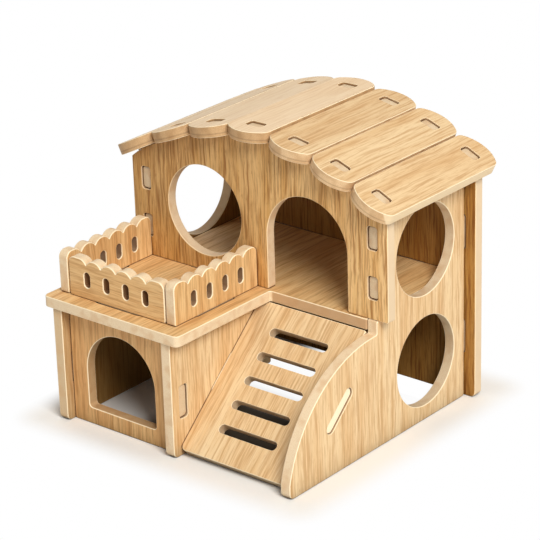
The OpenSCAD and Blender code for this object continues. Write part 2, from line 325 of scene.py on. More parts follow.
def standing(face: Face, at: float) -> Matrix:
    """Places a board whose outline is given in the house's frame.

    Args:
        face: The way it stands.
        at: Its lowest Y, X or Z.

    Returns:
        The matrix from outline and thickness to the house's frame.
    """
    if face is Face.FRONT:
        return Matrix(((1, 0, 0, 0), (0, 0, -1, at + S.board), (0, 1, 0, 0), (0, 0, 0, 1)))
    if face is Face.SIDE:
        return Matrix(((0, 0, 1, at), (1, 0, 0, 0), (0, 1, 0, 0), (0, 0, 0, 1)))
    return Matrix.Translation((0, 0, at))


@dataclass
class Board:
    """One board cut from a panel, with sanded edges.

    Attributes:
        name: The name of the piece and of the construction node that it stands for.
        outer: Its outline.
        holes: Openings through it.
        place: Matrix from outline and thickness to the house's frame.
        soft: Radius of the sanded edges.
        hole_soft: Radius of the edges of small slots.
        corner: Radius that sharp corners of the outline get.
        seed: Number that moves the grain pattern.
        slot_shade: How far the walls of small slots are darkened as painted shade, from 0 to 1.
        toast: How far the walls of large openings are browned.
        shaded_face: Which of its two faces looks into the house and gets painted shade.
        large: Area from which an opening is large.
        steps: Number of faces across a rounded edge.
    """

    name: str
    outer: Loop
    holes: list[Loop] = field(default_factory=list)
    place: Matrix = field(default_factory=Matrix)
    soft: float = 0.42
    hole_soft: float = 0.2
    corner: float = 0.9
    seed: float = 0.0
    slot_shade: float = 0.4
    toast: float = 0.0
    shaded_face: ShadedFace = ShadedFace.LOW
    large: float = 200.0
    steps: int = 5

    def rims(self) -> list[tuple[Loop, float, float]]:
        """Rounds the corners of the outline and the openings.

        Returns:
            Each loop, the wood on its left, with its edge radius and the darkening of its cut side.
        """
        rims = [(self.outer, self.soft, 0.0, 1)]
        for hole in self.holes:
            big = abs(area(hole)) > self.large
            radius, brown = (self.soft, self.toast) if big else (self.hole_soft, self.slot_shade)
            rims.append((hole, radius, brown, -1))
        soft = [(soften(loop, self.corner), r, brown, sign) for loop, r, brown, sign in rims]
        return [(lp if area(lp) * sign > 0 else lp[::-1], r, b) for lp, r, b, sign in soft]

    def levels(self, r: float, brown: float) -> list[tuple[float, float, float]]:
        """Gives the section of an edge from the upper face to the lower one.

        Args:
            r: Radius of the sanded edge.
            brown: Darkening of the cut side: painted shade in small slots, browning in large
                openings.

        Returns:
            Distance into the wood, height and cut_edge value of each line along the edge.
        """
        t = S.board
        angles = [math.pi / 2 * k / self.steps for k in range(self.steps + 1)]
        half = [(r + 0.3, t, 0.0)]
        half += [
            (r * (1 - math.sin(a)), t - r * (1 - math.cos(a)), k / self.steps)
            for k, a in enumerate(angles)
        ]
        half.append((0.0, t - r - 0.1, 1.0 + brown))
        return half + [(off, t - z, cut) for off, z, cut in reversed(half)]

    def mesh(self) -> Mesh:
        """Builds the board: two flat faces, cut sides, and a rounded edge between them.

        Returns:
            The mesh, in the row frame, with the attributes cut_edge, inner_shade, ply and board_seed.
        """
        verts: list[Vector] = []
        kept: dict[str, list[float]] = {"cut_edge": [], "inner_shade": [], "ply": []}
        faces: list[tuple[int, ...]] = []
        ends: tuple[list[list[int]], list[list[int]]] = ([], [])
        for loop, r, brown in self.rims():
            n = len(loop)
            rows: list[list[int]] = []
            for off, z, cut in self.levels(r, brown):
                rows.append(list(range(len(verts), len(verts) + n)))
                verts += [Vector((x, y, z)) for x, y in shifted(loop, off)]
                # the face that looks into the house is marked for painted shade
                inward = cut == 0 and (z > S.board / 2) == self.shaded_face.value
                for key, value in zip(kept, (cut, float(inward), z / S.board)):
                    kept[key] += [value] * n
            for upper, lower in zip(rows, rows[1:]):
                for i in range(n):
                    j = (i + 1) % n
                    faces.append((upper[i], lower[i], lower[j], upper[j]))
            ends[0].append(rows[0])
            ends[1].append(rows[-1])
        for groups, up in zip(ends, (True, False)):
            flat = [i for g in groups for i in g]
            for tri in tessellate_polygon([[verts[i] for i in g] for g in groups]):
                a, b, c = (flat[i] for i in tri)
                ab, ac = verts[b] - verts[a], verts[c] - verts[a]
                ccw = ab.x * ac.y - ab.y * ac.x > 0
                faces.append((a, b, c) if ccw == up else (a, c, b))
        mesh = bpy.data.meshes.new(self.name)
        mesh.from_pydata([to_row(self.place @ v) for v in verts], [], faces)
        mesh.validate()
        mesh.update()
        for key, values in (kept | {"board_seed": [self.seed] * len(verts)}).items():
            mesh.attributes.new(key, "FLOAT", "POINT").data.foreach_set("value", values)
        mesh.shade_smooth()
        return mesh

    def piece(self, body: str, finish: Finish) -> None:
        """Makes the board as a piece that stands for the construction node of its name.

        Args:
            body: The body it rides on.
            finish: Its material.
        """
        obj = placed(self.name, self.mesh())
        obj.data.materials.append(finish)
        settle(obj, body, self.name)


def settle(obj: bpy.types.Object, body: str, *nodes: str) -> None:
    """Makes a piece ride on its body and stand for its nodes, and reports it.

    Args:
        obj: The piece.
        body: The body.
        nodes: The construction nodes that it replaces.
    """
    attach(obj, body)
    if nodes:
        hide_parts(*nodes)
    LOG.info("%s rides on %s, %d faces", obj.name, body, len(obj.data.polygons))


# Materials ---------------------------------------------------------------------------


def linear(hex_code: str) -> tuple[float, float, float, float]:
    """Turns an sRGB hex colour into linear values.

    Args:
        hex_code: The colour, as in #FFF0D0.

    Returns:
        Red, green, blue and a full alpha.
    """
    parts = [int(hex_code[i : i + 2], 16) / 255 for i in (1, 3, 5)]
    r, g, b = (c / 12.92 if c <= 0.04045 else ((c + 0.055) / 1.055) ** 2.4 for c in parts)
    return r, g, b, 1.0


def add(
    tree: Tree, kind: str, links: dict[str | int, object] | None = None, **settings: object
) -> Node:
    """Adds a node to a tree.

    Args:
        tree: The tree.
        kind: The node's type name.
        links: For each input, a value, an output socket, or a node whose first output is used.
        settings: Attributes of the node.

    Returns:
        The new node.
    """
    node = tree.nodes.new(kind)
    for key, value in settings.items():
        setattr(node, key, value)
    for key, value in (links or {}).items():
        if isinstance(value, Node):
            value = value.outputs[0]
        if isinstance(value, bpy.types.NodeSocket):
            tree.links.new(value, node.inputs[key])
        else:
            node.inputs[key].default_value = value
    return node


def emptied(data: Finish | bpy.types.World) -> Put:
    """Clears the tree of a material or world.

    Args:
        data: The material or world.

    Returns:
        The function that adds a node to its tree.
    """
    data.use_nodes = True
    data.node_tree.nodes.clear()
    return partial(add, data.node_tree)


@dataclass(frozen=True)
class Coat:
    """A colour laid on where a value passes a limit.

    Attributes:
        value: The node or socket that gives the value.
        low: Value where the coat starts.
        high: Value where it is full.
        top: Its strength where it is full.
        colour: Its colour, in hex or from a socket.
        blend: How it is laid on.
    """

    value: object
    low: float
    high: float
    top: float
    colour: object
    blend: str = "MIX"


def coated(put: Put, base: object, *coats: Coat) -> bpy.types.NodeSocket:
    """Lays coats of colour on a base, one after another.

    Args:
        put: Adds a node to the tree.
        base: The colour below, in linear values or from a socket.
        coats: The coats.

    Returns:
        The socket of the last colour.
    """
    for coat in coats:
        ramp = {"Value": coat.value, "From Min": coat.low, "From Max": coat.high}
        mask = put("ShaderNodeMapRange", ramp | {"To Max": coat.top}, **SMOOTH)
        colour = linear(coat.colour) if isinstance(coat.colour, str) else coat.colour
        links = {0: mask, 6: base, 7: colour}
        base = put("ShaderNodeMix", links, data_type="RGBA", blend_type=coat.blend).outputs[2]
    return base


class Grain(Enum):
    """The way the grain runs, as the turn that brings it upright with its width along X."""

    UP_ON_FRONT = (0.0, 0.0, 0.0)
    UP_ON_SIDE = (0.0, 0.0, -90.0)
    BACKWARDS = (90.0, 0.0, 0.0)
    ACROSS = (0.0, -90.0, 0.0)
    UP_THE_RAMP = (90.0 - 42.75, 0.0, 0.0)


@dataclass(frozen=True)
class VeneeredBoard:
    """Ash veneer on fine fibreboard, laser-cut, lightly sanded and clear-sealed.

    The eye sees straight, close grain in honey tones on the faces, a hair-thin pale line on the
    sanded edge of the veneer that is partly painted highlight, plain beige fibre on the cut edges,
    and small slots darkened inside with painted shade. The face that looks into the house and the
    joints carry painted shade; some finishes add painted shade toward the left end and painted
    light or painted shade, by finish, on the cut edges at the right end.

    Attributes:
        name: The material's name.
        grain: The way the grain runs.
        light: Colour of the pale wood between the lines.
        mid: Colour of the broad bands.
        dark: Colour of the grain lines.
        figure: Strength of the grain lines, from 0 to 1.
        sanded_rim_highlight: Colour of the sanded line beside a face, partly painted highlight.
        core: Colour of the cut edge.
        speck: Colour of the darker fibres in the cut edge.
        brown: Colour of the walls of small slots.
        inner_shade_colour: Colour of the painted shade on the face that looks into the house.
        joint_shade: Colour of the painted shade at the joints between boards.
        left_shade: Colour of the painted shade that darkens the sheet toward its left end, or
            nothing.
        glue: Strength of the glue line in the cut edge, from 0 to 1.
        far: Colour of painted light or painted shade on the cut edge beyond far_from, or nothing.
        far_from: Place across the house where the edge gets that painted colour, in millimetres.
    """

    name: str
    grain: Grain
    light: str = "#F2D9AF"
    mid: str = "#E5C393"
    dark: str = "#BC8C57"
    figure: float = 0.55
    sanded_rim_highlight: str = "#FFF0D0"
    core: str = "#EFDAB9"
    speck: str = "#D9B183"
    brown: str = "#6B421F"
    inner_shade_colour: str = "#C0AC84"
    joint_shade: str = "#86592F"
    left_shade: str = ""
    glue: float = 0.0
    far: str = ""
    far_from: float = 0.0

    def patterns(
        self, put: Put, source: Node, table: dict[str, tuple[float, float, float]]
    ) -> dict[str, Node]:
        """Adds noises stretched along the grain.

        Args:
            put: Adds a node to the material's tree.
            source: Coordinates in millimetres, with the grain along Z.
            table: For each noise, the size of a patch across and along the grain, in
                millimetres, and the number of finer layers.

        Returns:
            The noise nodes.
        """
        made = {}
        for name, (wide, long, detail) in table.items():
            scale = (1 / wide, 1 / wide, 1 / long)
            links = {"Vector": put("ShaderNodeMapping", {"Vector": source, "Scale": scale})}
            links |= {"Scale": 1.0, "Detail": detail, "Roughness": 0.55}
            made[name] = put("ShaderNodeTexNoise", links, noise_dimensions="3D")
        return made

    def sheet(self, put: Put, spot: Node, noise: dict[str, Node]) -> bpy.types.NodeSocket:
        """Colours the faces.

        Args:
            put: Adds a node to the material's tree.
            spot: Node that splits the place in the row frame.
            noise: The noises.

        Returns:
            The colour.
        """
        f = self.figure
        toned = coated(
            put,
            linear(self.light),
            Coat(noise["broad"], 0.3, 0.7, 1.0, self.mid),
            Coat(noise["lines"], 0.44, 0.66, f, self.dark),
            Coat(noise["pale"], 0.5, 0.66, 0.75 * f, self.light),
            Coat(noise["fine"], 0.48, 0.7, 0.6 * f, self.dark),
            Coat(noise["pores"], 0.64, 0.74, 0.5 * f, self.dark),
            Coat(noise["tone"], 0.35, 0.7, 0.15, self.mid, "MULTIPLY"),
        )
        tint = {"data_type": "RGBA", "blend_type": "MULTIPLY"}
        # painted shade on the face that looks into the house; the strip before the annex's set-back
        # panel gets half of it
        shaded_face = put("ShaderNodeAttribute", attribute_name="inner_shade").outputs["Fac"]
        ramp = {"Value": spot.outputs["Y"], "From Min": -0.0595, "From Max": -0.0585, "To Max": 0.5}
        inside = put("ShaderNodeMapRange", ramp, **SMOOTH)
        half = put("ShaderNodeMath", {0: shaded_face, 1: inside, 2: 0.5}, operation="MULTIPLY_ADD")
        share = put("ShaderNodeMath", {0: shaded_face, 1: half}, operation="MULTIPLY")
        links = {0: share, 6: toned, 7: linear(self.inner_shade_colour)}
        faced = put("ShaderNodeMix", links, **tint).outputs[2]
        # painted shade: the sheet darkens toward its left end
        if self.left_shade:
            ends = {"Value": spot, "From Min": S.half * MM, "From Max": -S.half * MM}
            left = put("ShaderNodeMapRange", ends)
            links = {0: left, 6: faced, 7: linear(self.left_shade)}
            faced = put("ShaderNodeMix", links, **tint).outputs[2]
        return faced

    def edge(self, put: Put, spot: Node, moved: Node, patch: Node) -> bpy.types.NodeSocket:
        """Colours the cut edge.

        Args:
            put: Adds a node to the material's tree.
            spot: Node that splits the place in the row frame.
            moved: Coordinates in millimetres, apart for each board.
            patch: The noise of the scorched patches.

        Returns:
            The colour.
        """
        # fine fibre speckle about 0.4 mm across
        links = {"Vector": moved, "Scale": 2.4, "Detail": 2.0, "Roughness": 0.6}
        fibre = put("ShaderNodeTexNoise", links, noise_dimensions="3D")
        core = coated(
            put,
            linear(self.core),
            Coat(fibre, 0.35, 0.8, 0.45, self.speck),
            Coat(patch, 0.42, 0.7, 0.5, self.speck),
        )
        if self.glue:
            # a hair-thin glue line runs a third of the way up the edge
            ply = put("ShaderNodeAttribute", attribute_name="ply").outputs["Fac"]
            off = put("ShaderNodeMath", {0: ply, 1: 0.3}, operation="SUBTRACT")
            apart = put("ShaderNodeMath", {0: off}, operation="ABSOLUTE")
            fade = {"Value": apart, "From Min": 0.03, "From Max": 0.09}
            line = put("ShaderNodeMapRange", fade | {"To Min": self.glue, "To Max": 0.0})
            links = {0: line, 6: core, 7: linear(self.brown)}
            core = put("ShaderNodeMix", links, data_type="RGBA").outputs[2]
        if self.far:
            # painted light or painted shade, by finish: the cut edge beyond far_from takes another
            # colour
            start = self.far_from * MM
            core = coated(put, core, Coat(spot, start, start + 0.6 * MM, 0.8, self.far))
        return core

    def build(self) -> Finish:
        """Builds the material.

        Returns:
            The material.
        """
        mat = bpy.data.materials.new(self.name)
        put = emptied(mat)
        place = put("ShaderNodeTexCoord").outputs["Object"]
        spot = put("ShaderNodeSeparateXYZ", {0: place})
        turn = tuple(math.radians(a) for a in self.grain.value)
        links = {"Vector": place, "Rotation": turn, "Scale": (1 / MM, 1 / MM, 1 / MM)}
        turned = put("ShaderNodeMapping", links)
        seed = put("ShaderNodeAttribute", attribute_name="board_seed").outputs["Fac"]
        away = {
            axis: put("ShaderNodeMath", {0: seed, 1: far}, operation="MULTIPLY")
            for axis, far in (("X", 61.7), ("Z", 233.0))
        }
        links = {0: turned, 1: put("ShaderNodeCombineXYZ", away)}
        moved = put("ShaderNodeVectorMath", links, operation="ADD")
        # the cutter scorched the edge in patches about 5 mm long
        slow = {"drift": (14.0, 24.0, 2.0), "tone": (24.0, 60.0, 1.0), "patch": (5.0, 5.0, 1.0)}
        noise = self.patterns(put, moved, slow)
        # the lines wander by about a millimetre over the length of a board
        links = {0: noise["drift"].outputs["Color"], 1: (2.4, 0.0, 0.0), 2: moved}
        sway = put("ShaderNodeVectorMath", links, operation="MULTIPLY_ADD")
        # growth bands 6 mm apart, lines 1 mm, streaks 0.55 mm
        quick = {"broad": (6.0, 150.0, 2.0), "lines": (1.0, 24.0, 2.0), "pale": (1.3, 20.0, 1.0)}
        # pores are finer than the picture shows, so they are drawn 0.45 mm wide
        quick |= {"fine": (0.55, 8.0, 2.0), "pores": (0.45, 3.0, 1.0)}
        noise |= self.patterns(put, sway, quick)
        cut = put("ShaderNodeAttribute", attribute_name="cut_edge").outputs["Fac"]
        near = put("ShaderNodeAmbientOcclusion", {"Distance": 0.9 * MM}, samples=8).outputs["AO"]
        colour = coated(
            put,
            self.sheet(put, spot, noise),
            # the sanded line beside a face: partly the sanded veneer, partly painted highlight
            Coat(cut, 0.1, 0.4, 1.0, self.sanded_rim_highlight),
            Coat(cut, 0.6, 1.0, 1.0, self.edge(put, spot, moved, noise["patch"])),
            # cut_edge above 1 darkens the cut side: painted shade in small slots and on tabs,
            # browning in large openings
            Coat(cut, 1.0, 2.0, 0.92, self.brown),
            # painted shade darkens the wood within half a millimetre of a joint
            Coat(near, 0.8, 0.3, 0.85, self.joint_shade, "MULTIPLY"),
        )
        span = {"Value": noise["lines"], "From Min": 0.3, "From Max": 0.7}
        rough = put("ShaderNodeMapRange", span | {"To Min": 0.5, "To Max": 0.62})
        pit = {"Value": noise["pores"], "From Min": 0.6, "From Max": 0.8, "To Max": -1.0}
        pits = put("ShaderNodeMapRange", pit, **SMOOTH)
        height = {0: pits, 1: 0.5, 2: noise["fine"]}
        relief = {"Height": put("ShaderNodeMath", height, operation="MULTIPLY_ADD")}
        bump = put("ShaderNodeBump", relief | {"Strength": 0.18, "Distance": 0.1 * MM})
        links = {"Base Color": colour, "Roughness": rough, "Normal": bump}
        seal = {"IOR": 1.45, "Specular IOR Level": 0.35}
        surface = put("ShaderNodeBsdfPrincipled", links | seal)
        put("ShaderNodeOutputMaterial", {"Surface": surface})
        return mat


# Tabs and planks by geometry nodes ---------------------------------------------------


def modifier_mesh(
    carrier: bpy.types.Object, group: Tree, inputs: dict[str, object], name: str
) -> Mesh:
    """Runs a node group on a carrier object and keeps the result as a plain mesh.

    Args:
        carrier: The object that the group reads, which is removed afterwards.
        group: The geometry node group.
        inputs: Values by the names of the group's inputs.
        name: Name of the new mesh.

    Returns:
        The plain mesh.
    """
    mod = carrier.modifiers.new("make", "NODES")
    mod.node_group = group
    for item in group.interface.items_tree:
        if item.item_type == "SOCKET" and item.in_out == "INPUT" and item.name in inputs:
            mod[item.identifier] = inputs[item.name]
    carrier.update_tag()
    graph = bpy.context.evaluated_depsgraph_get()
    mesh = bpy.data.meshes.new_from_object(carrier.evaluated_get(graph))
    mesh.name = name
    bpy.data.objects.remove(carrier)
    return mesh


def new_group(name: str, sizes: dict[str, float]) -> Tree:
    """Starts a geometry node group with named inputs and a geometry output.

    Args:
        name: Its name.
        sizes: Its inputs, whole or broken numbers, with their first values.

    Returns:
        The group, which also takes a geometry and a finish.
    """
    group = bpy.data.node_groups.new(name, "GeometryNodeTree")
    sockets = group.interface.new_socket
    sockets("Geometry", in_out="INPUT", socket_type="NodeSocketGeometry")
    for key, value in sizes.items():
        kind = "NodeSocketInt" if isinstance(value, int) else "NodeSocketFloat"
        sockets(key, in_out="INPUT", socket_type=kind).default_value = value
    sockets("Finish", in_out="INPUT", socket_type="NodeSocketMaterial")
    sockets("Geometry", in_out="OUTPUT", socket_type="NodeSocketGeometry")
    return group


@dataclass
class TabMaker:
    """Makes rows of tabs: a rounded-corner block with a softened end on each point.

    Attributes:
        finish: Material of the tabs.
        side: How far a tab's sides are darkened as painted shade in their slot, as a cut_edge
            value.
        end: The same for its sanded end.
        sanded: Wood taken off a tab's width and depth, in millimetres.
        soft: Height of the softened end, in millimetres.
        group: The node group that draws one kind of tab on every point.
    """

    finish: Finish
    side: float = 1.55
    end: float = 1.28
    sanded: float = 0.2
    soft: float = 0.5
    group: Tree = field(init=False)

    def __post_init__(self) -> None:
        """Builds the node group."""
        sizes = {"Width": 0.008, "Depth": 0.0048, "Corner": 0.0012, "Length": 0.006, "Soft": 0.0004}
        self.group = new_group("tab_row", sizes)
        put = partial(add, self.group)
        get = put("NodeGroupInput").outputs
        size = {"Width": get["Width"], "Height": get["Depth"]}
        block = put("GeometryNodeCurvePrimitiveQuadrilateral", size, mode="RECTANGLE")
        corner = {"Curve": block, "Radius": get["Corner"], "Count": 5, "Limit Radius": True}
        rounded = put("GeometryNodeFilletCurve", corner, mode="POLY")
        base = put("GeometryNodeFillCurve", {"Curve": rounded}, mode="NGONS")
        shaft = put("ShaderNodeMath", {0: get["Length"], 1: get["Soft"]}, operation="SUBTRACT")
        rise = {"Mesh": base, "Offset Scale": shaft, "Individual": False}
        grown = put("GeometryNodeExtrudeMesh", rise, mode="FACES").outputs
        mesh, top = grown["Mesh"], grown["Top"]
        # three steps draw the rounded edge of the end
        for share, shrink in ((0.5, 0.975), (0.35, 0.95), (0.15, 0.93)):
            lift = put("ShaderNodeMath", {0: get["Soft"], 1: share}, operation="MULTIPLY")
            rise = {"Mesh": mesh, "Selection": top, "Offset Scale": lift, "Individual": False}
            grown = put("GeometryNodeExtrudeMesh", rise, mode="FACES").outputs
            top = grown["Top"]
            shape = {"Geometry": grown["Mesh"], "Selection": top, "Scale": shrink}
            mesh = put("GeometryNodeScaleElements", shape, domain="FACE").outputs[0]
        # the sides of a tab, and less its sanded end, are darkened as painted shade in the slot
        height = put("ShaderNodeSeparateXYZ", {0: put("GeometryNodeInputPosition")})
        span = {"Value": height.outputs["Z"], "From Min": shaft, "From Max": get["Length"]}
        browned = put("ShaderNodeMapRange", span | {"To Min": self.side, "To Max": self.end})
        store = {"Geometry": mesh, "Name": "cut_edge", "Value": browned}
        store_as = {"data_type": "FLOAT", "domain": "POINT"}
        cut = put("GeometryNodeStoreNamedAttribute", store, **store_as)
        kind = "GeometryNodeInputNamedAttribute"
        turn = put(kind, {"Name": "turn"}, data_type="FLOAT_VECTOR").outputs["Attribute"]
        rotation = put("FunctionNodeEulerToRotation", {"Euler": turn})
        lay = {"Points": get["Geometry"], "Instance": cut, "Rotation": rotation}
        copies = put("GeometryNodeInstanceOnPoints", lay)
        real = put("GeometryNodeRealizeInstances", {"Geometry": copies})
        dressed = put("GeometryNodeSetMaterial", {"Geometry": real, "Material": get["Finish"]})
        put("NodeGroupOutput", {"Geometry": dressed})

    def row(
        self, name: str, places: list[tuple[Vector, Euler]], w: float, d: float, long: float
    ) -> Mesh:
        """Makes tabs of one size, sanded a tenth of a millimetre off each side.

        Args:
            name: Name of the mesh.
            places: Root point in the house's frame and turn of each tab, which grows along its Z.
            w: Size along the tab's own X.
            d: Size along the tab's own Y.
            long: Length from the root to the end.

        Returns:
            A plain mesh in the row frame.
        """
        points = bpy.data.meshes.new(name + "_points")
        points.from_pydata([to_row(p) for p, _ in places], [], [])
        turn = points.attributes.new("turn", "FLOAT_VECTOR", "POINT")
        turn.data.foreach_set("vector", [a for _, e in places for a in e])
        sizes = {"Width": w - self.sanded, "Depth": d - self.sanded, "Corner": S.tab_r}
        sizes |= {"Length": long, "Soft": self.soft}
        inputs = {key: size * MM for key, size in sizes.items()} | {"Finish": self.finish}
        return modifier_mesh(placed(name + "_points", points), self.group, inputs, name)


def joined(name: str, meshes: list[Mesh]) -> bpy.types.Object:
    """Joins meshes into one object with smooth sides.

    Args:
        name: Name of the object.
        meshes: The meshes, in the row frame.

    Returns:
        The object.
    """
    parts = [placed(name, mesh) for mesh in meshes]
    with bpy.context.temp_override(active_object=parts[0], selected_editable_objects=parts):
        bpy.ops.object.join()
    parts[0].name = name
    parts[0].data.set_sharp_from_angle(angle=math.radians(50))
    return parts[0]


# Roof --------------------------------------------------------------------------------


@dataclass
class Roof:
    """Seven round-ended planks that follow a curve, each held by two tabs.

    Attributes:
        soft: Radius of the planks' sanded edges.
        hole_soft: Radius of the edges of their slots.
        course: The node group that lays a plank in its place on the curve.
    """

    soft: float = 0.28
    hole_soft: float = 0.16
    course: Tree = field(init=False)

    def __post_init__(self) -> None:
        """Builds the node group.

        Plank n, counted from the middle one, starts at the sum of the steps before it, and each
        step is the pitch turned by that plank's tilt. The group lays one of them on one side.
        """
        sizes = {"Number": 0, "Side": 1.0, "Pitch": 0.0221, "Ridge Height": 0.1271}
        sizes |= {"Middle Lift": 0.0009, "Tilt 1": 0.19, "Tilt 2": 0.36, "Tilt 3": 0.45}
        self.course = new_group("roof_course", sizes | {"Grain Seed": 0.0})
        put = partial(add, self.course)
        get = put("NodeGroupInput").outputs
        at = put("GeometryNodeInputIndex").outputs[0]
        tilt = put("GeometryNodeIndexSwitch", data_type="FLOAT")
        while len(tilt.index_switch_items) < 4:
            tilt.index_switch_items.new()
        self.course.links.new(at, tilt.inputs["Index"])
        for i in (1, 2, 3):
            self.course.links.new(get[f"Tilt {i}"], tilt.inputs[i + 1])
        middle = []
        for turn in ("COSINE", "SINE"):
            ratio = put("ShaderNodeMath", {0: tilt}, operation=turn)
            part = put("ShaderNodeMath", {0: ratio, 1: get["Pitch"]}, operation="MULTIPLY")
            total = put("GeometryNodeAccumulateField", {"Value": part}, data_type="FLOAT")
            links = {0: part, 1: 0.5, 2: total.outputs["Trailing"]}
            middle.append(put("ShaderNodeMath", links, operation="MULTIPLY_ADD"))
        links = {0: get["Pitch"], 1: -0.5, 2: middle[0]}
        out = put("ShaderNodeMath", links, operation="MULTIPLY_ADD")
        beside = put("ShaderNodeMath", {0: at, 1: 1.0}, operation="MINIMUM")
        links = {0: get["Middle Lift"], 1: beside, 2: middle[1]}
        fall = put("ShaderNodeMath", links, operation="MULTIPLY_ADD")
        place = {
            "X": put("ShaderNodeMath", {0: out, 1: get["Side"]}, operation="MULTIPLY"),
            "Z": put("ShaderNodeMath", {0: get["Ridge Height"], 1: fall}, operation="SUBTRACT"),
        }
        spot = put("ShaderNodeCombineXYZ", place)
        row = put("GeometryNodePoints", {"Count": 4})
        points = put("GeometryNodeSetPosition", {"Geometry": row, "Position": spot})
        side = put("ShaderNodeMath", {0: tilt, 1: get["Side"]}, operation="MULTIPLY")
        lean = put("ShaderNodeCombineXYZ", {"Y": side})
        links = {2: at, 3: get["Number"]}
        chosen = put("FunctionNodeCompare", links, data_type="INT", operation="EQUAL")
        links = {"Points": points, "Selection": chosen, "Instance": get["Geometry"]}
        links |= {"Rotation": put("FunctionNodeEulerToRotation", {"Euler": lean})}
        laid = put("GeometryNodeInstanceOnPoints", links)
        plain = put("GeometryNodeRealizeInstances", {"Geometry": laid})
        store = {"Geometry": plain, "Name": "board_seed", "Value": get["Grain Seed"]}
        store_as = {"data_type": "FLOAT", "domain": "POINT"}
        seeded = put("GeometryNodeStoreNamedAttribute", store, **store_as)
        dressed = put("GeometryNodeSetMaterial", {"Geometry": seeded, "Material": get["Finish"]})
        put("NodeGroupOutput", {"Geometry": dressed})

    @property
    def ridge(self) -> float:
        """Height of the middle plank's top."""
        return S.floor + S.ridge_rise

    def seam(self, n: int) -> Vector:
        """Gives the top of a joint.

        Args:
            n: The plank before the joint, counted from the middle one.

        Returns:
            X from the house's middle, and Z.
        """
        if n == 0:
            return Vector((S.pitch / 2, self.ridge - S.ridge_lift))
        t = math.radians(S.tilts[n])
        return self.seam(n - 1) + Vector((math.cos(t), -math.sin(t))) * S.pitch

    def mid(self, n: int) -> Vector:
        """Gives the middle of plank n's top face, in X from the house's middle and Z."""
        return (self.seam(n - 1) + self.seam(n)) / 2 if n else Vector((0.0, self.ridge))

    def on_plank(self, n: int, s: float, d: float) -> Vector:
        """Gives a point of a plank.

        Args:
            n: The plank, counted from the middle one.
            s: Distance across it from its middle.
            d: Depth below its top face.

        Returns:
            X from the house's middle, and Z.
        """
        t = math.radians(S.tilts[n])
        away = Vector((s * math.cos(t) - d * math.sin(t), -s * math.sin(t) - d * math.cos(t)))
        return self.mid(n) + away

    def under_line(self, n: int, x: float) -> float:
        """Gives the height of plank n's underside at x from the house's middle."""
        p = self.on_plank(n, 0, S.board)
        return p.y - (x - p.x) * math.tan(math.radians(S.tilts[n]))

    def place(self, k: int) -> Matrix:
        """Gives the place of a plank.

        Args:
            k: The plank, from -3 at the left to 3 at the right.

        Returns:
            The matrix from a flat plank to the house's frame.
        """
        n, sign = abs(k), (k > 0) - (k < 0)
        m = self.mid(n)
        turn = Matrix.Rotation(math.radians(sign * S.tilts[n]), 4, "Y")
        return Matrix.Translation((S.half + sign * m.x, 0, m.y)) @ turn

    def wall_top(self) -> Loop:
        """Gives the top of a gable wall, which carries the planks and ends below the last.

        Returns:
            The points from the wall's middle to its right end, in X from the middle and Z.
        """
        seat, lift, drop, reach, end, fall = 0.33 * S.plank_w, S.board + 0.05, 0.8, 1.5, 3.5, 1.0
        pts = [self.on_plank(0, seat, lift), self.on_plank(0, seat, lift + S.ridge_lift)]
        pts += [self.on_plank(n, s * seat, lift) for n in (1, 2) for s in (-1, 1)]
        pts += [self.on_plank(3, -seat, lift), self.on_plank(3, reach, lift)]
        pts += [self.on_plank(3, reach, S.board + drop)]
        below = drop / math.cos(math.radians(S.tilts[3]))
        out = [tuple(p) for p in pts]
        out.append((S.half - end, self.under_line(3, S.half - end) - below))
        out.append((S.half, self.under_line(3, S.half) - below - fall))
        return out

    def gable(self, z: float) -> Loop:
        """Gives the outline of the front or back wall.

        Args:
            z: Height of its foot.

        Returns:
            The outline, clockwise from the lower left corner.
        """
        right = self.wall_top()
        left = [(-x, y) for x, y in reversed(right)]
        pts = [(-S.half, z)] + left + right + [(S.half, z)]
        return [(x + S.half, y) for x, y in pts]

    def plank_loop(self) -> Loop:
        """Gives the outline of a plank.

        Returns:
            The outline, around the middle of the house's depth.
        """
        w, f, mid = S.plank_w / 2, S.fillet, S.depth / 2
        r = (w * w + S.nose * S.nose) / (2 * S.nose)
        c = S.plank_len / 2 - r
        y = c + math.sqrt((r - f) ** 2 - (w - f) ** 2)
        a = math.degrees(math.atan2(y - c, w - f))
        top = arc(w - f, mid + y, f, 0, a, 7)[:-1] + arc(0, mid + c, r, a, 180 - a, 24)
        top += arc(f - w, mid + y, f, 180 - a, 180, 7)[1:]
        return top + [(-px, 2 * mid - py) for px, py in top]

    def build(self, warm: Finish, pale: Finish) -> None:
        """Builds the planks.

        Args:
            warm: Material of the three planks at the right.
            pale: Material of the four planks at the left.
        """
        ends = (S.board / 2, S.depth - S.board / 2)
        holes = [slot(0, y, S.roof_tab, S.board) for y in ends]
        flat = Matrix.Translation((S.half, 0, -S.board))
        sizes = {"Pitch": S.pitch, "Ridge Height": self.ridge, "Middle Lift": S.ridge_lift}
        shared = {key: size * MM for key, size in sizes.items()}
        shared |= {f"Tilt {n}": math.radians(S.tilts[n]) for n in (1, 2, 3)}
        edges = {"soft": self.soft, "hole_soft": self.hole_soft}
        for k in range(-3, 4):
            name = f"roof_plank_{k + 4}"
            board = Board(name, self.plank_loop(), holes, flat, **edges)
            own = {"Number": abs(k), "Side": -1.0 if k < 0 else 1.0}
            own |= {"Grain Seed": 1.7 + 0.83 * k, "Finish": warm if k > 0 else pale}
            carrier = placed(name + "_flat", board.mesh())
            mesh = modifier_mesh(carrier, self.course, shared | own, name)
            settle(placed(name, mesh), name, name)


# Walls, floor, annex, ramp and rails --------------------------------------------------


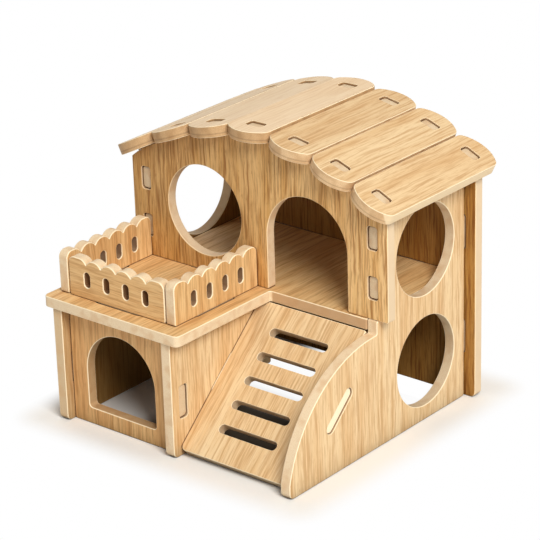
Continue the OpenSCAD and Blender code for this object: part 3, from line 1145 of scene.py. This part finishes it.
@dataclass
class Tower:
    """The front, back and side walls and the floor board.

    Attributes:
        roof: The roof that the walls carry.
        door_w: Width of the door.
        door_h: Height of the door.
        door_x: Middle of the door.
        window_x: Middle of the balcony window.
        window_rise: Height of the balcony window's middle above the floor.
        low_z: Height of the lower side windows' middles.
        high_rise: Height of the upper side windows' middles above the floor.
        under_roof: Room between a side wall's top and the roof.
        front_at: Middles of the front tabs, as shares of the side wall's height above the floor.
        back_at: Middle of the lower back tab, as a share of the floor's height, and of the upper
            one, as a share of the side wall's height above it.
        front_tab: Height of a tab at a side wall's front edge.
        back_tab: Height of a tab at a side wall's back edge.
        wing_drop: Height of the floor above the wing's highest point.
        wing_foot: Height of the wing's front end.
        wing_y: Distance of the wing's highest point before the front wall.
        wing_end: Distance of the wing's upper end behind the floor board's lip.
    """

    roof: Roof
    door_w: float = 41.5
    door_h: float = 45.0
    door_x: float = S.width - 41.15
    window_x: float = 40.0
    window_rise: float = 27.4
    low_z: float = 26.6
    high_rise: float = 20.25
    under_roof: float = 0.3
    front_at: Point = (0.286, 0.734)
    back_at: Point = (0.49, 0.393)
    front_tab: float = 10.0
    back_tab: float = 15.4
    wing_drop: float = 5.9
    wing_foot: float = 6.2
    wing_y: float = 2.6
    wing_end: float = 0.4

    @property
    def side_top(self) -> float:
        """Height of the side walls."""
        return self.roof.under_line(3, S.width - S.inset - S.half) - self.under_roof

    @property
    def front_tabs(self) -> Point:
        """Middle heights of the tabs at a side wall's front edge."""
        room = self.side_top - S.floor
        return S.floor + self.front_at[0] * room, S.floor + self.front_at[1] * room

    @property
    def back_tabs(self) -> Point:
        """Middle heights of the tabs at a side wall's back edge."""
        low, high = self.back_at
        return low * S.floor, S.floor + high * (self.side_top - S.floor)

    def front_wall(self) -> Board:
        """Draws the front wall with its window and door.

        Returns:
            The board.
        """
        r = self.door_w / 2
        door = arc(self.door_x, S.floor + self.door_h - r, r, 0, 180, 56)
        foot = [(self.door_x + r, S.floor)] + door + [(self.door_x - r, S.floor)]
        # the door is open at the bottom, so it is part of the outline
        outer = self.roof.gable(S.floor)[::-1]
        i = outer.index((S.width, S.floor))
        outer = outer[i:] + outer[:i] + foot[::-1]
        holes = [arc(self.window_x, S.floor + self.window_rise, S.window / 2, 0, 360, 96)[:-1]]
        holes += [slot(x, z, S.board, self.front_tab) for x in S.walls_x for z in self.front_tabs]
        return Board("front_wall", outer, holes, standing(Face.FRONT, 0.0), seed=0.31)

    def back_wall(self) -> Board:
        """Draws the back wall.

        Returns:
            The board.
        """
        c = S.corner
        outer = [p for p in self.roof.gable(0.0) if p[1] > 0]
        outer += arc(S.width - c, c, c, 0, -90, 8) + arc(c, c, c, -90, -180, 8)
        holes = [slot(x, z, S.board, self.back_tab) for x in S.walls_x for z in self.back_tabs]
        for x in (S.half - S.deck_tab_x, S.half + S.deck_tab_x):
            holes.append(slot(x, S.floor - S.board / 2, S.deck_tab, S.board))
        place = standing(Face.FRONT, S.inner_depth)
        return Board("back_wall", outer, holes, place, seed=2.6, shaded_face=ShadedFace.HIGH)

    def windows(self) -> list[Loop]:
        """Gives the round windows of a side wall."""
        heights = (self.low_z, S.floor + self.high_rise)
        return [arc(S.depth / 2, z, S.window / 2, 0, 360, 96)[:-1] for z in heights]

    def side_ends(self) -> tuple[Loop, Loop]:
        """Draws what the outlines of the two side walls share.

        Returns:
            The top with the back edge, and the round lower front corner.
        """
        back, c = S.inner_depth - S.short, S.corner
        upper = [(S.board, self.side_top), (back, self.side_top), (back, 0.0)]
        return upper, arc(-S.annex_depth + c, c, c, -90, -180, 8)

    def left_wall(self, panel: Loop) -> Board:
        """Draws the left side wall.

        Args:
            panel: The slot for the arch panel's tab.

        Returns:
            The board.
        """
        upper, foot = self.side_ends()
        outer = [(-S.annex_depth, S.under), (S.board, S.under)] + upper + foot
        holes, place = self.windows() + [panel], standing(Face.SIDE, S.inset)
        return Board("left_side_wall", outer, holes, place, seed=4.4, shaded_face=ShadedFace.HIGH)

    def right_wall(self, ramp_slot: Loop) -> Board:
        """Draws the right side wall with its wing.

        Args:
            ramp_slot: The slot for the ramp's tab.

        Returns:
            The board.
        """
        top, low, run = S.floor - self.wing_drop, self.wing_foot, S.annex_depth - self.wing_y
        cz = (low * low - top * top + run * run) / (2 * (low - top))
        r, lip = top - cz, -S.lip + self.wing_end
        a0 = 180 - math.degrees(math.asin((low - cz) / r))
        a1 = math.degrees(math.acos((lip + self.wing_y) / r))
        upper, foot = self.side_ends()
        outer = foot + arc(-self.wing_y, cz, r, a0, a1, 60)
        outer += [(lip, S.floor), (S.board, S.floor)] + upper
        holes, place = self.windows() + [ramp_slot], standing(Face.SIDE, S.right_in)
        return Board("right_side_wall", outer, holes, place, seed=6.1, toast=0.22)

    def floor(self, slots: list[Loop]) -> Board:
        """Draws the floor board with its balcony deck.

        Args:
            slots: The slots in the deck.

        Returns:
            The board.
        """
        left, right, front, c = S.deck_x, S.deck_end, -S.annex_depth - S.deck_front, S.corner
        x0, x1 = S.left_in + S.play, S.right_in - S.play
        outer = arc(left + c, front + c, c, 180, 270, 8)
        outer += arc(right - c, front + c, c, 270, 360, 8)
        outer += [(right, -S.lip), (x1, -S.lip), (x1, S.inner_depth), (x0, S.inner_depth)]
        outer += [(x0, S.board - S.play), (left, S.board - S.play)]
        return Board("floor_slab", outer, slots, standing(Face.FLAT, S.under), seed=8.3)


@dataclass
class Annex:
    """The arch panel and the right wall of the annex.

    Attributes:
        set_back: Distance of the panel behind the walls' front edges.
        arch_w: Width of the arch.
        arch_top: Height of the arch's top.
        sill: Height of the arch's sill.
        sill_r: Radius of its lower corners.
        tab_h: Length of the panel's tabs.
        tab_up: Middle of those tabs, as a share of the annex's height.
        passage_d: Depth of the passage at the back of the right wall.
        passage_h: Height of that passage.
    """

    set_back: float = 4.5
    arch_w: float = 37.6
    arch_top: float = 43.9
    sill: float = 7.5
    sill_r: float = 1.6
    tab_h: float = 14.6
    tab_up: float = 0.46
    passage_d: float = 23.8
    passage_h: float = 20.0

    @property
    def panel_y(self) -> float:
        """Y of the panel's front face."""
        return -S.annex_depth + self.set_back

    @property
    def tab_at(self) -> Point:
        """Y and Z of the middle of the panel's tabs."""
        return self.panel_y + S.board / 2, self.tab_up * S.under

    def panel_slot(self) -> Loop:
        """Gives the slot for the panel's tab in a side wall."""
        return slot(*self.tab_at, S.board, self.tab_h)

    def panel(self) -> Board:
        """Draws the arch panel.

        Returns:
            The board.
        """
        x0, x1 = S.left_in + S.gap, S.annex_in - S.gap
        outer = [(x0, 0.0), (x1, 0.0), (x1, S.under), (x0, S.under)]
        cx, w, r = (x0 + x1) / 2, self.arch_w / 2, self.sill_r
        hole = arc(cx - w + r, self.sill + r, r, 180, 270, 6)
        hole += arc(cx + w - r, self.sill + r, r, 270, 360, 6)
        hole += arc(cx, self.arch_top - w, w, 0, 180, 56)
        place = standing(Face.FRONT, self.panel_y)
        return Board("annex_arch_panel", outer, [hole], place, seed=3.7, toast=0.36)

    def right_wall(self, ramp_slot: Loop) -> Board:
        """Draws the right wall with its low passage.

        Args:
            ramp_slot: The slot for the ramp's tab.

        Returns:
            The board.
        """
        d, t, c, h = S.annex_depth, S.board, S.corner, self.passage_h
        y0, r = t - self.passage_d, 2 * c
        outer = arc(-d + c, c, c, -90, -180, 8) + [(-d, S.under), (t, S.under), (t, h)]
        outer += arc(y0 + r, h - r, r, 90, 180, 10) + [(y0, 0.0)]
        holes, place = [self.panel_slot(), ramp_slot], standing(Face.SIDE, S.annex_in)
        return Board("annex_right_wall", outer, holes, place, seed=5.2)


@dataclass
class Ramp:
    """The slotted ramp between the annex and the wing.

    Attributes:
        rung_w: Length of a slot.
        rung_h: Width of a slot.
        pitch: Distance between slots.
        count: Number of slots.
        first: Distance of the first slot from the upper end, as a share of the length.
        head_y: Y of the top face's upper end.
        toe: Distance of the lower end behind the annex's front.
        peg_at: Distance of its tabs from the lower end, as a share of the length.
        peg_len: Length of its tabs, as a share of the length.
    """

    rung_w: float = 29.9
    rung_h: float = 4.0
    pitch: float = 11.4
    count: int = 5
    first: float = 0.171
    head_y: float = -S.lip - 0.5
    toe: float = 3.3
    peg_at: float = 0.515
    peg_len: float = 0.29

    @property
    def run(self) -> float:
        """Horizontal length of the top face."""
        return S.annex_depth - self.toe + self.head_y

    @property
    def angle(self) -> float:
        """Slope in degrees, found from the climb and the run."""
        a = math.atan(S.under / self.run)
        for _ in range(3):
            a = math.atan((S.under - S.board * math.cos(a)) / self.run)
        return math.degrees(a)

    @property
    def length(self) -> float:
        """Length of the board along the slope."""
        return self.run / math.cos(math.radians(self.angle))

    def foot(self) -> Point:
        """Gives Y and Z of the top face's lower end."""
        return self.head_y - self.run, S.board * math.cos(math.radians(self.angle))

    def peg(self, room: float = 0.0) -> Loop:
        """Gives the outline of the ramp's tab in the walls beside it.

        Args:
            room: Clearance on every side, for its slot.

        Returns:
            The outline, in Y and Z.
        """
        a = math.radians(self.angle)
        at, down = self.peg_at * self.length, -S.board / 2
        y, z = self.foot()
        cy = y + at * math.cos(a) - down * math.sin(a)
        cz = z + at * math.sin(a) + down * math.cos(a)
        long = self.peg_len * self.length + 2 * room
        return long_hole(cy, cz, long, S.board + 2 * room, self.angle)

    def board(self) -> Board:
        """Draws the ramp.

        Returns:
            The board.
        """
        x0, x1, c = S.annex_out + S.play, S.right_in - S.play, S.corner
        outer = arc(x0 + c, c, c, 180, 270, 8) + arc(x1 - c, c, c, 270, 360, 8)
        outer += [(x1, self.length), (x0, self.length)]
        mid, top = (x0 + x1) / 2, (1 - self.first) * self.length
        rungs = [top - i * self.pitch for i in range(self.count)]
        holes = [long_hole(mid, at, self.rung_w, self.rung_h) for at in rungs]
        turn = Matrix.Rotation(math.radians(self.angle), 4, "X")
        place = Matrix.Translation((0, *self.foot())) @ turn
        place = place @ Matrix.Translation((0, 0, -S.board))
        return Board("ramp", outer, holes, place, seed=7.4)

    def pegs(self, finish: Finish) -> bpy.types.Object:
        """Makes the round-ended tabs of the ramp, one in each wall beside it.

        Args:
            finish: Their material.

        Returns:
            The piece: two short blocks whose thickness is the depth of their slots.
        """
        meshes = []
        for i, x in enumerate((S.annex_in + S.recess, S.right_in - S.recess)):
            place = standing(Face.SIDE, x)
            meshes.append(Board(f"ramp_tab_{i}", self.peg(), [], place, soft=0.5, seed=1.0).mesh())
        pegs = joined("ramp_tabs", meshes)
        pegs.data.materials.append(finish)
        # what shows of a peg is its end, sanded pale
        bare = [0.5] * len(pegs.data.vertices)
        pegs.data.attributes["cut_edge"].data.foreach_set("value", bare)
        return pegs


@dataclass(frozen=True)
class Scallops:
    """Places along a rail, as shares of its length.

    Attributes:
        first: Middle of the first bump.
        pitch: Distance between bumps.
        oval: Middle of the first oval hole.
        oval_pitch: Distance between oval holes.
    """

    first: float
    pitch: float
    oval: float
    oval_pitch: float


@dataclass
class Balcony:
    """The three scalloped rails.

    Attributes:
        height: Height of the side rails above the deck.
        front_drop: Height of the side rails above the front rail.
        dip: Depth of the scallops.
        oval_h: Height of an oval hole.
        oval_w: Width of an oval hole.
        oval_up: Middle of the oval holes, as a share of the side rails' height.
        bumps: Number of bumps along a rail's top.
        ovals: Number of oval holes in a rail.
        tab: Length of a rail's tab.
        tab_at: Middle of a side rail's tab, as a share of its length.
        gap: Room between two rails.
        slack: Room on every side of a rail's tab in its slot, beyond that of a tight tab.
        end_r: Radius of a rail's upper corners.
        front: Y of the front rail's outer face.
        left_x: X of the left rail's outer face.
        right_x: X of the right rail's inner face.
        along: Places of the bumps and holes of a side rail.
        across: Places of the bumps and holes of the front rail.
    """

    height: float = 18.4
    front_drop: float = 0.9
    dip: float = 2.4
    oval_h: float = 6.8
    oval_w: float = 3.3
    oval_up: float = 0.46
    bumps: int = 6
    ovals: int = 4
    tab: float = 24.0
    tab_at: float = 0.48
    gap: float = 0.75
    slack: float = 0.25
    end_r: float = 3.2
    front: float = -S.annex_depth + 6.2
    left_x: float = S.inset - 0.8
    right_x: float = S.annex_in - 1.8
    along: Scallops = Scallops(0.086, 0.165, 0.23, 0.188)
    across: Scallops = Scallops(0.108, 0.1575, 0.19, 0.204)

    @property
    def run(self) -> float:
        """Length of a side rail."""
        return -S.play - self.front

    @property
    def span(self) -> Point:
        """Start and length of the front rail."""
        x0 = self.left_x + S.board + self.gap
        return x0, self.right_x - x0 - self.gap

    def outline(self, n: float, marks: Scallops, h: float) -> Loop:
        """Gives a rail's outline, with bumps along its top.

        Args:
            n: Its length.
            marks: Places along it.
            h: Height at the bumps' tops.

        Returns:
            The points from the rail's lower start corner, which is at 0, 0.
        """
        first, pitch, e = marks.first * n, marks.pitch * n, self.end_r
        r = (pitch * pitch / 4 + self.dip * self.dip) / (2 * self.dip)
        valley = math.degrees(math.acos(pitch / 2 / r))
        pts: Loop = [(0.0, 0.0), (n, 0.0)] + arc(n - e, h - e, e, 0, 90, 10)
        for i in reversed(range(self.bumps)):
            a0 = 90.0 if i == self.bumps - 1 else valley
            a1 = 90.0 if i == 0 else 180 - valley
            pts += arc(first + i * pitch, h - r, r, a0, a1, 14)
        return pts + arc(e, h - e, e, 90, 180, 10)

    def rail(self, name: str, place: Matrix, seed: float) -> Board:
        """Draws a rail.

        Args:
            name: Its name.
            place: Its place, for an outline in the house's frame.
            seed: Number that moves its grain.

        Returns:
            The board.
        """
        # the rails' oval holes are darkened inside by char, as painted shade
        if name == "balcony_front_rail":
            (x0, n), marks, h, slot_shade = self.span, self.across, self.height - self.front_drop, 0.9
        else:
            x0, n, marks, h, slot_shade = self.front, self.run, self.along, self.height, 0.75
        outer = [(x0 + x, S.floor + y) for x, y in self.outline(n, marks, h)]
        z = S.floor + self.oval_up * self.height
        ovals = [x0 + (marks.oval + i * marks.oval_pitch) * n for i in range(self.ovals)]
        holes = [long_hole(x, z, self.oval_h, self.oval_w, 90) for x in ovals]
        return Board(name, outer, holes, place, soft=0.5, hole_soft=0.45, seed=seed, slot_shade=slot_shade)

    def rails(self, crosswise: Finish, upright: Finish) -> None:
        """Makes the rails.

        Args:
            crosswise: Material of the front rail.
            upright: Material of the side rails.
        """
        for name, place, seed, finish in (
            ("balcony_front_rail", standing(Face.FRONT, self.front), 9.1, crosswise),
            ("balcony_left_rail", standing(Face.SIDE, self.left_x), 2.2, upright),
            ("balcony_right_rail", standing(Face.SIDE, self.right_x), 3.3, upright),
        ):
            self.rail(name, place, seed).piece(name, finish)

    def tabs(self) -> dict[str, tuple[float, float, float, float]]:
        """Places the rails' tabs.

        Returns:
            The middle and the size, in X and Y, of each rail's tab in the deck.
        """
        y, t = self.front + self.tab_at * self.run, S.board
        x0, n = self.span
        return {
            "balcony_front_rail": (x0 + n / 2, self.front + t / 2, self.tab, t),
            "balcony_left_rail": (self.left_x + t / 2, y, t, self.tab),
            "balcony_right_rail": (self.right_x + t / 2, y, t, self.tab),
        }

    def tab_slots(self) -> list[Loop]:
        """Gives the slots for the rails' tabs in the deck."""
        room = 2 * self.slack
        return [slot(x, y, w + room, h + room) for x, y, w, h in self.tabs().values()]

    def build_tabs(self, maker: TabMaker) -> None:
        """Makes the tab under each rail, as a piece that lifts off with it.

        Args:
            maker: The tab maker.
        """
        for node, (x, y, w, h) in self.tabs().items():
            places = [(Vector((x, y, S.floor + S.root)), turned(180, 0))]
            row = maker.row(node + "_tab", places, w, h, S.board + S.root - S.recess)
            tab = joined(node + "_tab", [row])
            settle(tab, node)


def turned(x: float, y: float) -> Euler:
    """Gives a turn about X and Y, in degrees."""
    return Euler((math.radians(x), math.radians(y), 0))


def joint_tabs(tower: Tower, annex: Annex, maker: TabMaker) -> bpy.types.Object:
    """Makes every tab that shows its end in a slot, as one piece of the house.

    Args:
        tower: The tower, which gives the side walls' tabs.
        annex: The annex, which gives the panel's tabs.
        maker: The tab maker.

    Returns:
        The piece.
    """
    t, root = S.board, S.root
    roof = []
    for k in range(-3, 4):
        for y in (t / 2, S.depth - t / 2):
            m = tower.roof.place(k) @ Matrix.Translation((0, y, -t - root))
            roof.append((m.to_translation(), m.to_euler()))
    front_y, rear_y, deck_y = t + root, S.inner_depth - S.short - root, S.inner_depth - root
    deck_x = (S.half - S.deck_tab_x, S.half + S.deck_tab_x)
    ends = ((S.left_in + root, -90), (S.annex_in - root, 90))
    # for each kind: places, width, depth and extra length
    kinds = {
        "foot_tab": (
            [(Vector((S.foot_x, t / 2, S.floor + root)), turned(180, 0))], S.foot_tab, t, 0
        ),
        "roof_tabs": (roof, S.roof_tab, t, 0),
        "front_tabs": (
            [(Vector((x, front_y, z)), turned(90, 0)) for x in S.walls_x for z in tower.front_tabs],
            t, tower.front_tab, 0,
        ),
        "rear_tabs": (
            [(Vector((x, rear_y, z)), turned(-90, 0)) for x in S.walls_x for z in tower.back_tabs],
            t, tower.back_tab, S.short,
        ),
        "deck_tabs": (
            [(Vector((x, deck_y, S.floor - t / 2)), turned(-90, 0)) for x in deck_x],
            S.deck_tab, t, 0,
        ),
        "panel_tabs": (
            [(Vector((x, *annex.tab_at)), turned(0, a)) for x, a in ends], annex.tab_h, t, 0
        ),
    }
    rows = [
        maker.row(name, places, w, d, t + root + more - S.recess)
        for name, (places, w, d, more) in kinds.items()
    ]
    return joined("joint_tabs", rows)


# Studio ------------------------------------------------------------------------------


@dataclass(frozen=True)
class Studio:
    """Floor, light and camera.

    Attributes:
        eye: The camera's place in the house's frame, in millimetres.
        azimuth: Direction of view from the front towards the right, in degrees.
        elevation: Height of view in degrees.
        roll: Turn of the camera about its line of sight, in degrees.
        lens: Focal length for a 36 mm sensor.
        tint: Colour of the lamps and the sky.
        sky: Strength of the sky.
        aim: Height that the lamps look at, in metres.
    """

    eye: tuple[float, float, float] = (659.03, -695.84, 443.58)
    azimuth: float = 40.011
    elevation: float = 22.615
    roll: float = -1.758
    lens: float = 158.745
    tint: str = "#FFFBF4"
    sky: float = 0.33
    aim: float = 0.06

    def camera(self) -> None:
        """Adds the camera at the photograph's place."""
        a, e, r = (math.radians(v) for v in (self.azimuth, self.elevation, self.roll))
        back = Vector((math.sin(a) * math.cos(e), -math.cos(a) * math.cos(e), math.sin(e)))
        right = Vector((math.cos(a), math.sin(a), 0.0))
        up = back.cross(right)
        c, s = math.cos(r), math.sin(r)
        x, y = right * c + up * s, up * c - right * s
        data = bpy.data.cameras.new("camera")
        data.lens, data.sensor_width = self.lens, 36.0
        data.clip_start, data.clip_end = 0.05, 20.0
        cam = placed("camera", data)
        turn = Matrix((x, y, back)).transposed().to_4x4()
        cam.matrix_world = Matrix.Translation(to_row(Vector(self.eye))) @ turn
        bpy.context.scene.camera = cam

    def lamp(self, name: str, at: tuple[float, float, float], size: float, power: float) -> None:
        """Adds a square soft box that looks at the house.

        Args:
            name: Name of the lamp.
            at: Its place in metres.
            size: Its side in metres.
            power: Its power in watts.
        """
        data = bpy.data.lights.new(name, "AREA")
        data.shape, data.size, data.energy = "SQUARE", size, power
        data.color = linear(self.tint)[:3]
        obj = placed(name, data)
        obj.location = Vector(at)
        aim = Vector((0.0, 0.0, self.aim)) - obj.location
        obj.rotation_euler = aim.to_track_quat("-Z", "Y").to_euler()

    def world(self) -> None:
        """Adds an even sky, seen as plain white behind the house."""
        world = bpy.data.worlds.new("studio")
        put = emptied(world)
        path = put("ShaderNodeLightPath").outputs
        sky = put("ShaderNodeBackground", {"Color": linear(self.tint), "Strength": self.sky})
        white = put("ShaderNodeBackground", {"Color": linear("#FFFFFF"), "Strength": 1.0})
        seen = path["Is Camera Ray"]
        for ray in ("Is Glossy Ray", "Is Transmission Ray"):
            seen = put("ShaderNodeMath", {0: seen, 1: path[ray]}, operation="MAXIMUM")
        mixed = put("ShaderNodeMixShader", {0: seen, 1: sky, 2: white})
        put("ShaderNodeOutputWorld", {"Surface": mixed})
        bpy.context.scene.world = world

    def mask(self, put: Put, *ramps: tuple[object, float, float]) -> Node:
        """Adds a product of smooth ramps.

        Args:
            put: Adds a node to the tree.
            ramps: For each ramp, its value, where it is 0 and where it is 1.

        Returns:
            The node that gives the product.
        """
        product: object = 1.0
        for value, none, full in ramps:
            links = {"Value": value, "From Min": none, "From Max": full}
            ramp = put("ShaderNodeMapRange", links, **SMOOTH)
            product = put("ShaderNodeMath", {0: product, 1: ramp}, operation="MULTIPLY")
        return product

    def glow(self, put: Put, place: object, away: object, between: Node) -> Node:
        """Finds where the paper is plain white: away from the house, and inside it at the back as
        painted light.

        Args:
            put: Adds a node to the paper's tree.
            place: The place in the row frame, in metres, split in X, Y and Z.
            away: Distance from the footprint.
            between: Mask of the space between the side walls, before the back wall.

        Returns:
            The node that gives the share of white.
        """
        x, y = place["X"], place["Y"]
        # painted light: under the tower, toward the back, the paper shows white where it lies in
        # shade
        middle = self.mask(put, (y, -0.012, 0.012), (y, 0.045, 0.039))
        lit = put("ShaderNodeMath", {0: middle, 1: 0.97}, operation="MULTIPLY")
        corner = self.mask(put, (y, 0.034, 0.04), (x, -0.03, -0.01))
        behind = put("ShaderNodeMath", {0: lit, 1: corner}, operation="MAXIMUM")
        inside = put("ShaderNodeMath", {0: behind, 1: between}, operation="MULTIPLY")
        clear = self.mask(put, (away, 0.0, 0.017))
        return put("ShaderNodeMath", {0: clear, 1: inside}, operation="MAXIMUM")

    def paper(self) -> Finish:
        """Builds the floor's matt white paper, which keeps the shadow close round the house, with
        painted light inside at the back and painted shade under the ramp.

        Returns:
            The material.
        """
        mat = bpy.data.materials.new("matt_white_paper")
        put = emptied(mat)
        place = put("ShaderNodeTexCoord").outputs["Object"]
        apart = put("ShaderNodeVectorMath", {0: place}, operation="ABSOLUTE")
        half_footprint = (0.0679, 0.0665, 0.0)
        links = {0: apart, 1: half_footprint}
        beyond = put("ShaderNodeVectorMath", links, operation="SUBTRACT")
        outside = put("ShaderNodeVectorMath", {0: beyond, 1: (0, 0, 0)}, operation="MAXIMUM")
        away = put("ShaderNodeVectorMath", {0: outside}, operation="LENGTH").outputs["Value"]
        at = put("ShaderNodeSeparateXYZ", {0: place}).outputs
        walls = put("ShaderNodeSeparateXYZ", {0: apart}).outputs
        between = self.mask(put, (walls["X"], 0.061, 0.059), (at["Y"], 0.056, 0.054))
        white = self.glow(put, at, away, between)
        seen = put("ShaderNodeLightPath").outputs["Is Camera Ray"]
        share = put("ShaderNodeMath", {0: seen, 1: white}, operation="MULTIPLY")
        # painted shade: under the ramp the paper is drawn dark for its deep shade
        x, y = at["X"], at["Y"]
        front = self.mask(put, (x, -0.036, -0.024), (x, 0.056, 0.05), (y, -0.056, -0.05))
        shade = put("ShaderNodeMath", {0: front, 1: between}, operation="MULTIPLY")
        # painted shade: inside the footprint the paper is dark to rays other than the camera's, so
        # it throws little light back up
        unseen = put("ShaderNodeMath", {0: 1.0, 1: seen}, operation="SUBTRACT")
        inside = put("ShaderNodeMath", {0: away, 1: 1e-4}, operation="LESS_THAN")
        inward = put("ShaderNodeMath", {0: unseen, 1: inside}, operation="MULTIPLY")
        deep = put("ShaderNodeMath", {0: shade, 1: inward}, operation="MAXIMUM")
        plain = put("ShaderNodeBsdfDiffuse", {"Color": linear("#F4F4F4")})
        dim = put("ShaderNodeBsdfDiffuse", {"Color": linear("#6E675C")})
        glow = put("ShaderNodeEmission", {"Color": linear("#FFFFFF"), "Strength": 1.0})
        ground = put("ShaderNodeMixShader", {0: deep, 1: plain, 2: dim})
        mixed = put("ShaderNodeMixShader", {0: share, 1: ground, 2: glow})
        put("ShaderNodeOutputMaterial", {"Surface": mixed})
        return mat

    def floor(self) -> None:
        """Adds the floor, a hair below the boards that stand on it."""
        size, low = 4.0, -0.05 * MM
        mesh = bpy.data.meshes.new("studio_floor")
        corners = [(x * size, y * size, low) for x, y in ((-1, -1), (1, -1), (1, 1), (-1, 1))]
        mesh.from_pydata(corners, [], [(0, 1, 2, 3)])
        mesh.materials.append(self.paper())
        placed("studio_floor", mesh)

    def build(self) -> None:
        """Sets up the whole studio."""
        self.camera()
        self.lamp("key_right_above", (1.26, -0.7, 1.36), 0.8, 33.0)
        self.lamp("fill_left_above", (-0.6, 0.4, 1.5), 1.2, 2.6)
        self.world()
        self.floor()
        bpy.context.scene.view_settings.view_transform = "Standard"


def finishes() -> dict[str, Finish]:
    """Builds the finishes.

    Returns:
        A finish for each kind of board, by that board's name.
    """
    honey = {"light": "#FAD69D", "mid": "#E9BC79", "dark": "#A97742", "figure": 0.84}
    # painted shade on the front and back walls: darker toward their left ends and on their cut
    # edges at the right end
    honey |= {"sanded_rim_highlight": "#F6DFB8", "core": "#E8D0B0", "left_shade": "#DCD0B8"}
    honey |= {"far": "#E2CBAA", "far_from": 67.0}
    amber = {"light": "#EFCC96", "mid": "#DFB37A", "dark": "#B07E48"}
    # painted shade on the cut edge of the lip before the door
    shaded = amber | {"far": "#C29B71", "far_from": 8.4}
    dusk = {"light": "#EDC48A", "mid": "#DCAA70", "dark": "#AA7945"}
    dusk |= {"core": "#DEBB8E", "speck": "#CA9865"}
    tan = {"core": "#DCC29C", "inner_shade_colour": "#A8926A"}
    lit = {"light": "#ECD0A4", "mid": "#DEBA89", "dark": "#BA8A55", "glue": 0.3}
    # painted light on the cut edges at the right end of the roof
    lit |= {"core": "#E6C69C", "speck": "#BA9164", "far": "#F1DCB7", "far_from": 69.8}
    soft = {"light": "#F6DFBF", "mid": "#EED3AE", "dark": "#D8B48D", "figure": 0.4}
    soft |= {"core": "#D0AC80", "speck": "#A67C50", "glue": 0.3}
    sheets = {
        "gable": VeneeredBoard("ash_veneer_upright_honey", Grain.UP_ON_FRONT, **honey),
        "panel": VeneeredBoard("ash_veneer_upright_panel", Grain.UP_ON_FRONT, **dusk),
        "side": VeneeredBoard("ash_veneer_upright_pale", Grain.UP_ON_SIDE),
        "left": VeneeredBoard("ash_veneer_upright_left", Grain.UP_ON_SIDE, **tan),
        "side_rail": VeneeredBoard("ash_veneer_rail_upright", Grain.UP_ON_SIDE, **amber),
        "front_rail": VeneeredBoard("ash_veneer_rail_crosswise", Grain.ACROSS, **amber),
        "deck": VeneeredBoard("ash_veneer_lengthwise_deck", Grain.BACKWARDS, **shaded),
        "warm_plank": VeneeredBoard("ash_veneer_lengthwise_roof", Grain.BACKWARDS, **lit),
        "pale_plank": VeneeredBoard("ash_veneer_lengthwise_roof_pale", Grain.BACKWARDS, **soft),
        "ramp": VeneeredBoard("ash_veneer_sloped_ramp", Grain.UP_THE_RAMP),
    }
    return {key: sheet.build() for key, sheet in sheets.items()}


def main() -> None:
    """Builds the house and its studio in order."""
    logging.basicConfig(level=logging.INFO, format="%(message)s")
    finish = finishes()
    Studio().build()
    roof, annex, ramp, balcony = Roof(), Annex(), Ramp(), Balcony()
    tower = Tower(roof)
    ramp_slot = ramp.peg(S.gap)
    foot_slot = slot(S.foot_x, S.board / 2, S.foot_tab, S.board)
    for board, key in (
        (tower.front_wall(), "gable"),
        (tower.back_wall(), "gable"),
        (tower.left_wall(annex.panel_slot()), "left"),
        (tower.right_wall(ramp_slot), "side"),
        (tower.floor(balcony.tab_slots() + [foot_slot]), "deck"),
        (annex.panel(), "panel"),
        (annex.right_wall(ramp_slot), "side"),
        (ramp.board(), "ramp"),
    ):
        board.piece("house", finish[key])
    roof.build(finish["warm_plank"], finish["pale_plank"])
    balcony.rails(finish["front_rail"], finish["side_rail"])
    maker = TabMaker(finish["side"])
    balcony.build_tabs(maker)
    pegs = ramp.pegs(finish["ramp"])
    for tabs in (joint_tabs(tower, annex, maker), pegs):
        settle(tabs, "house")


if __name__ == "__main__":
    main()
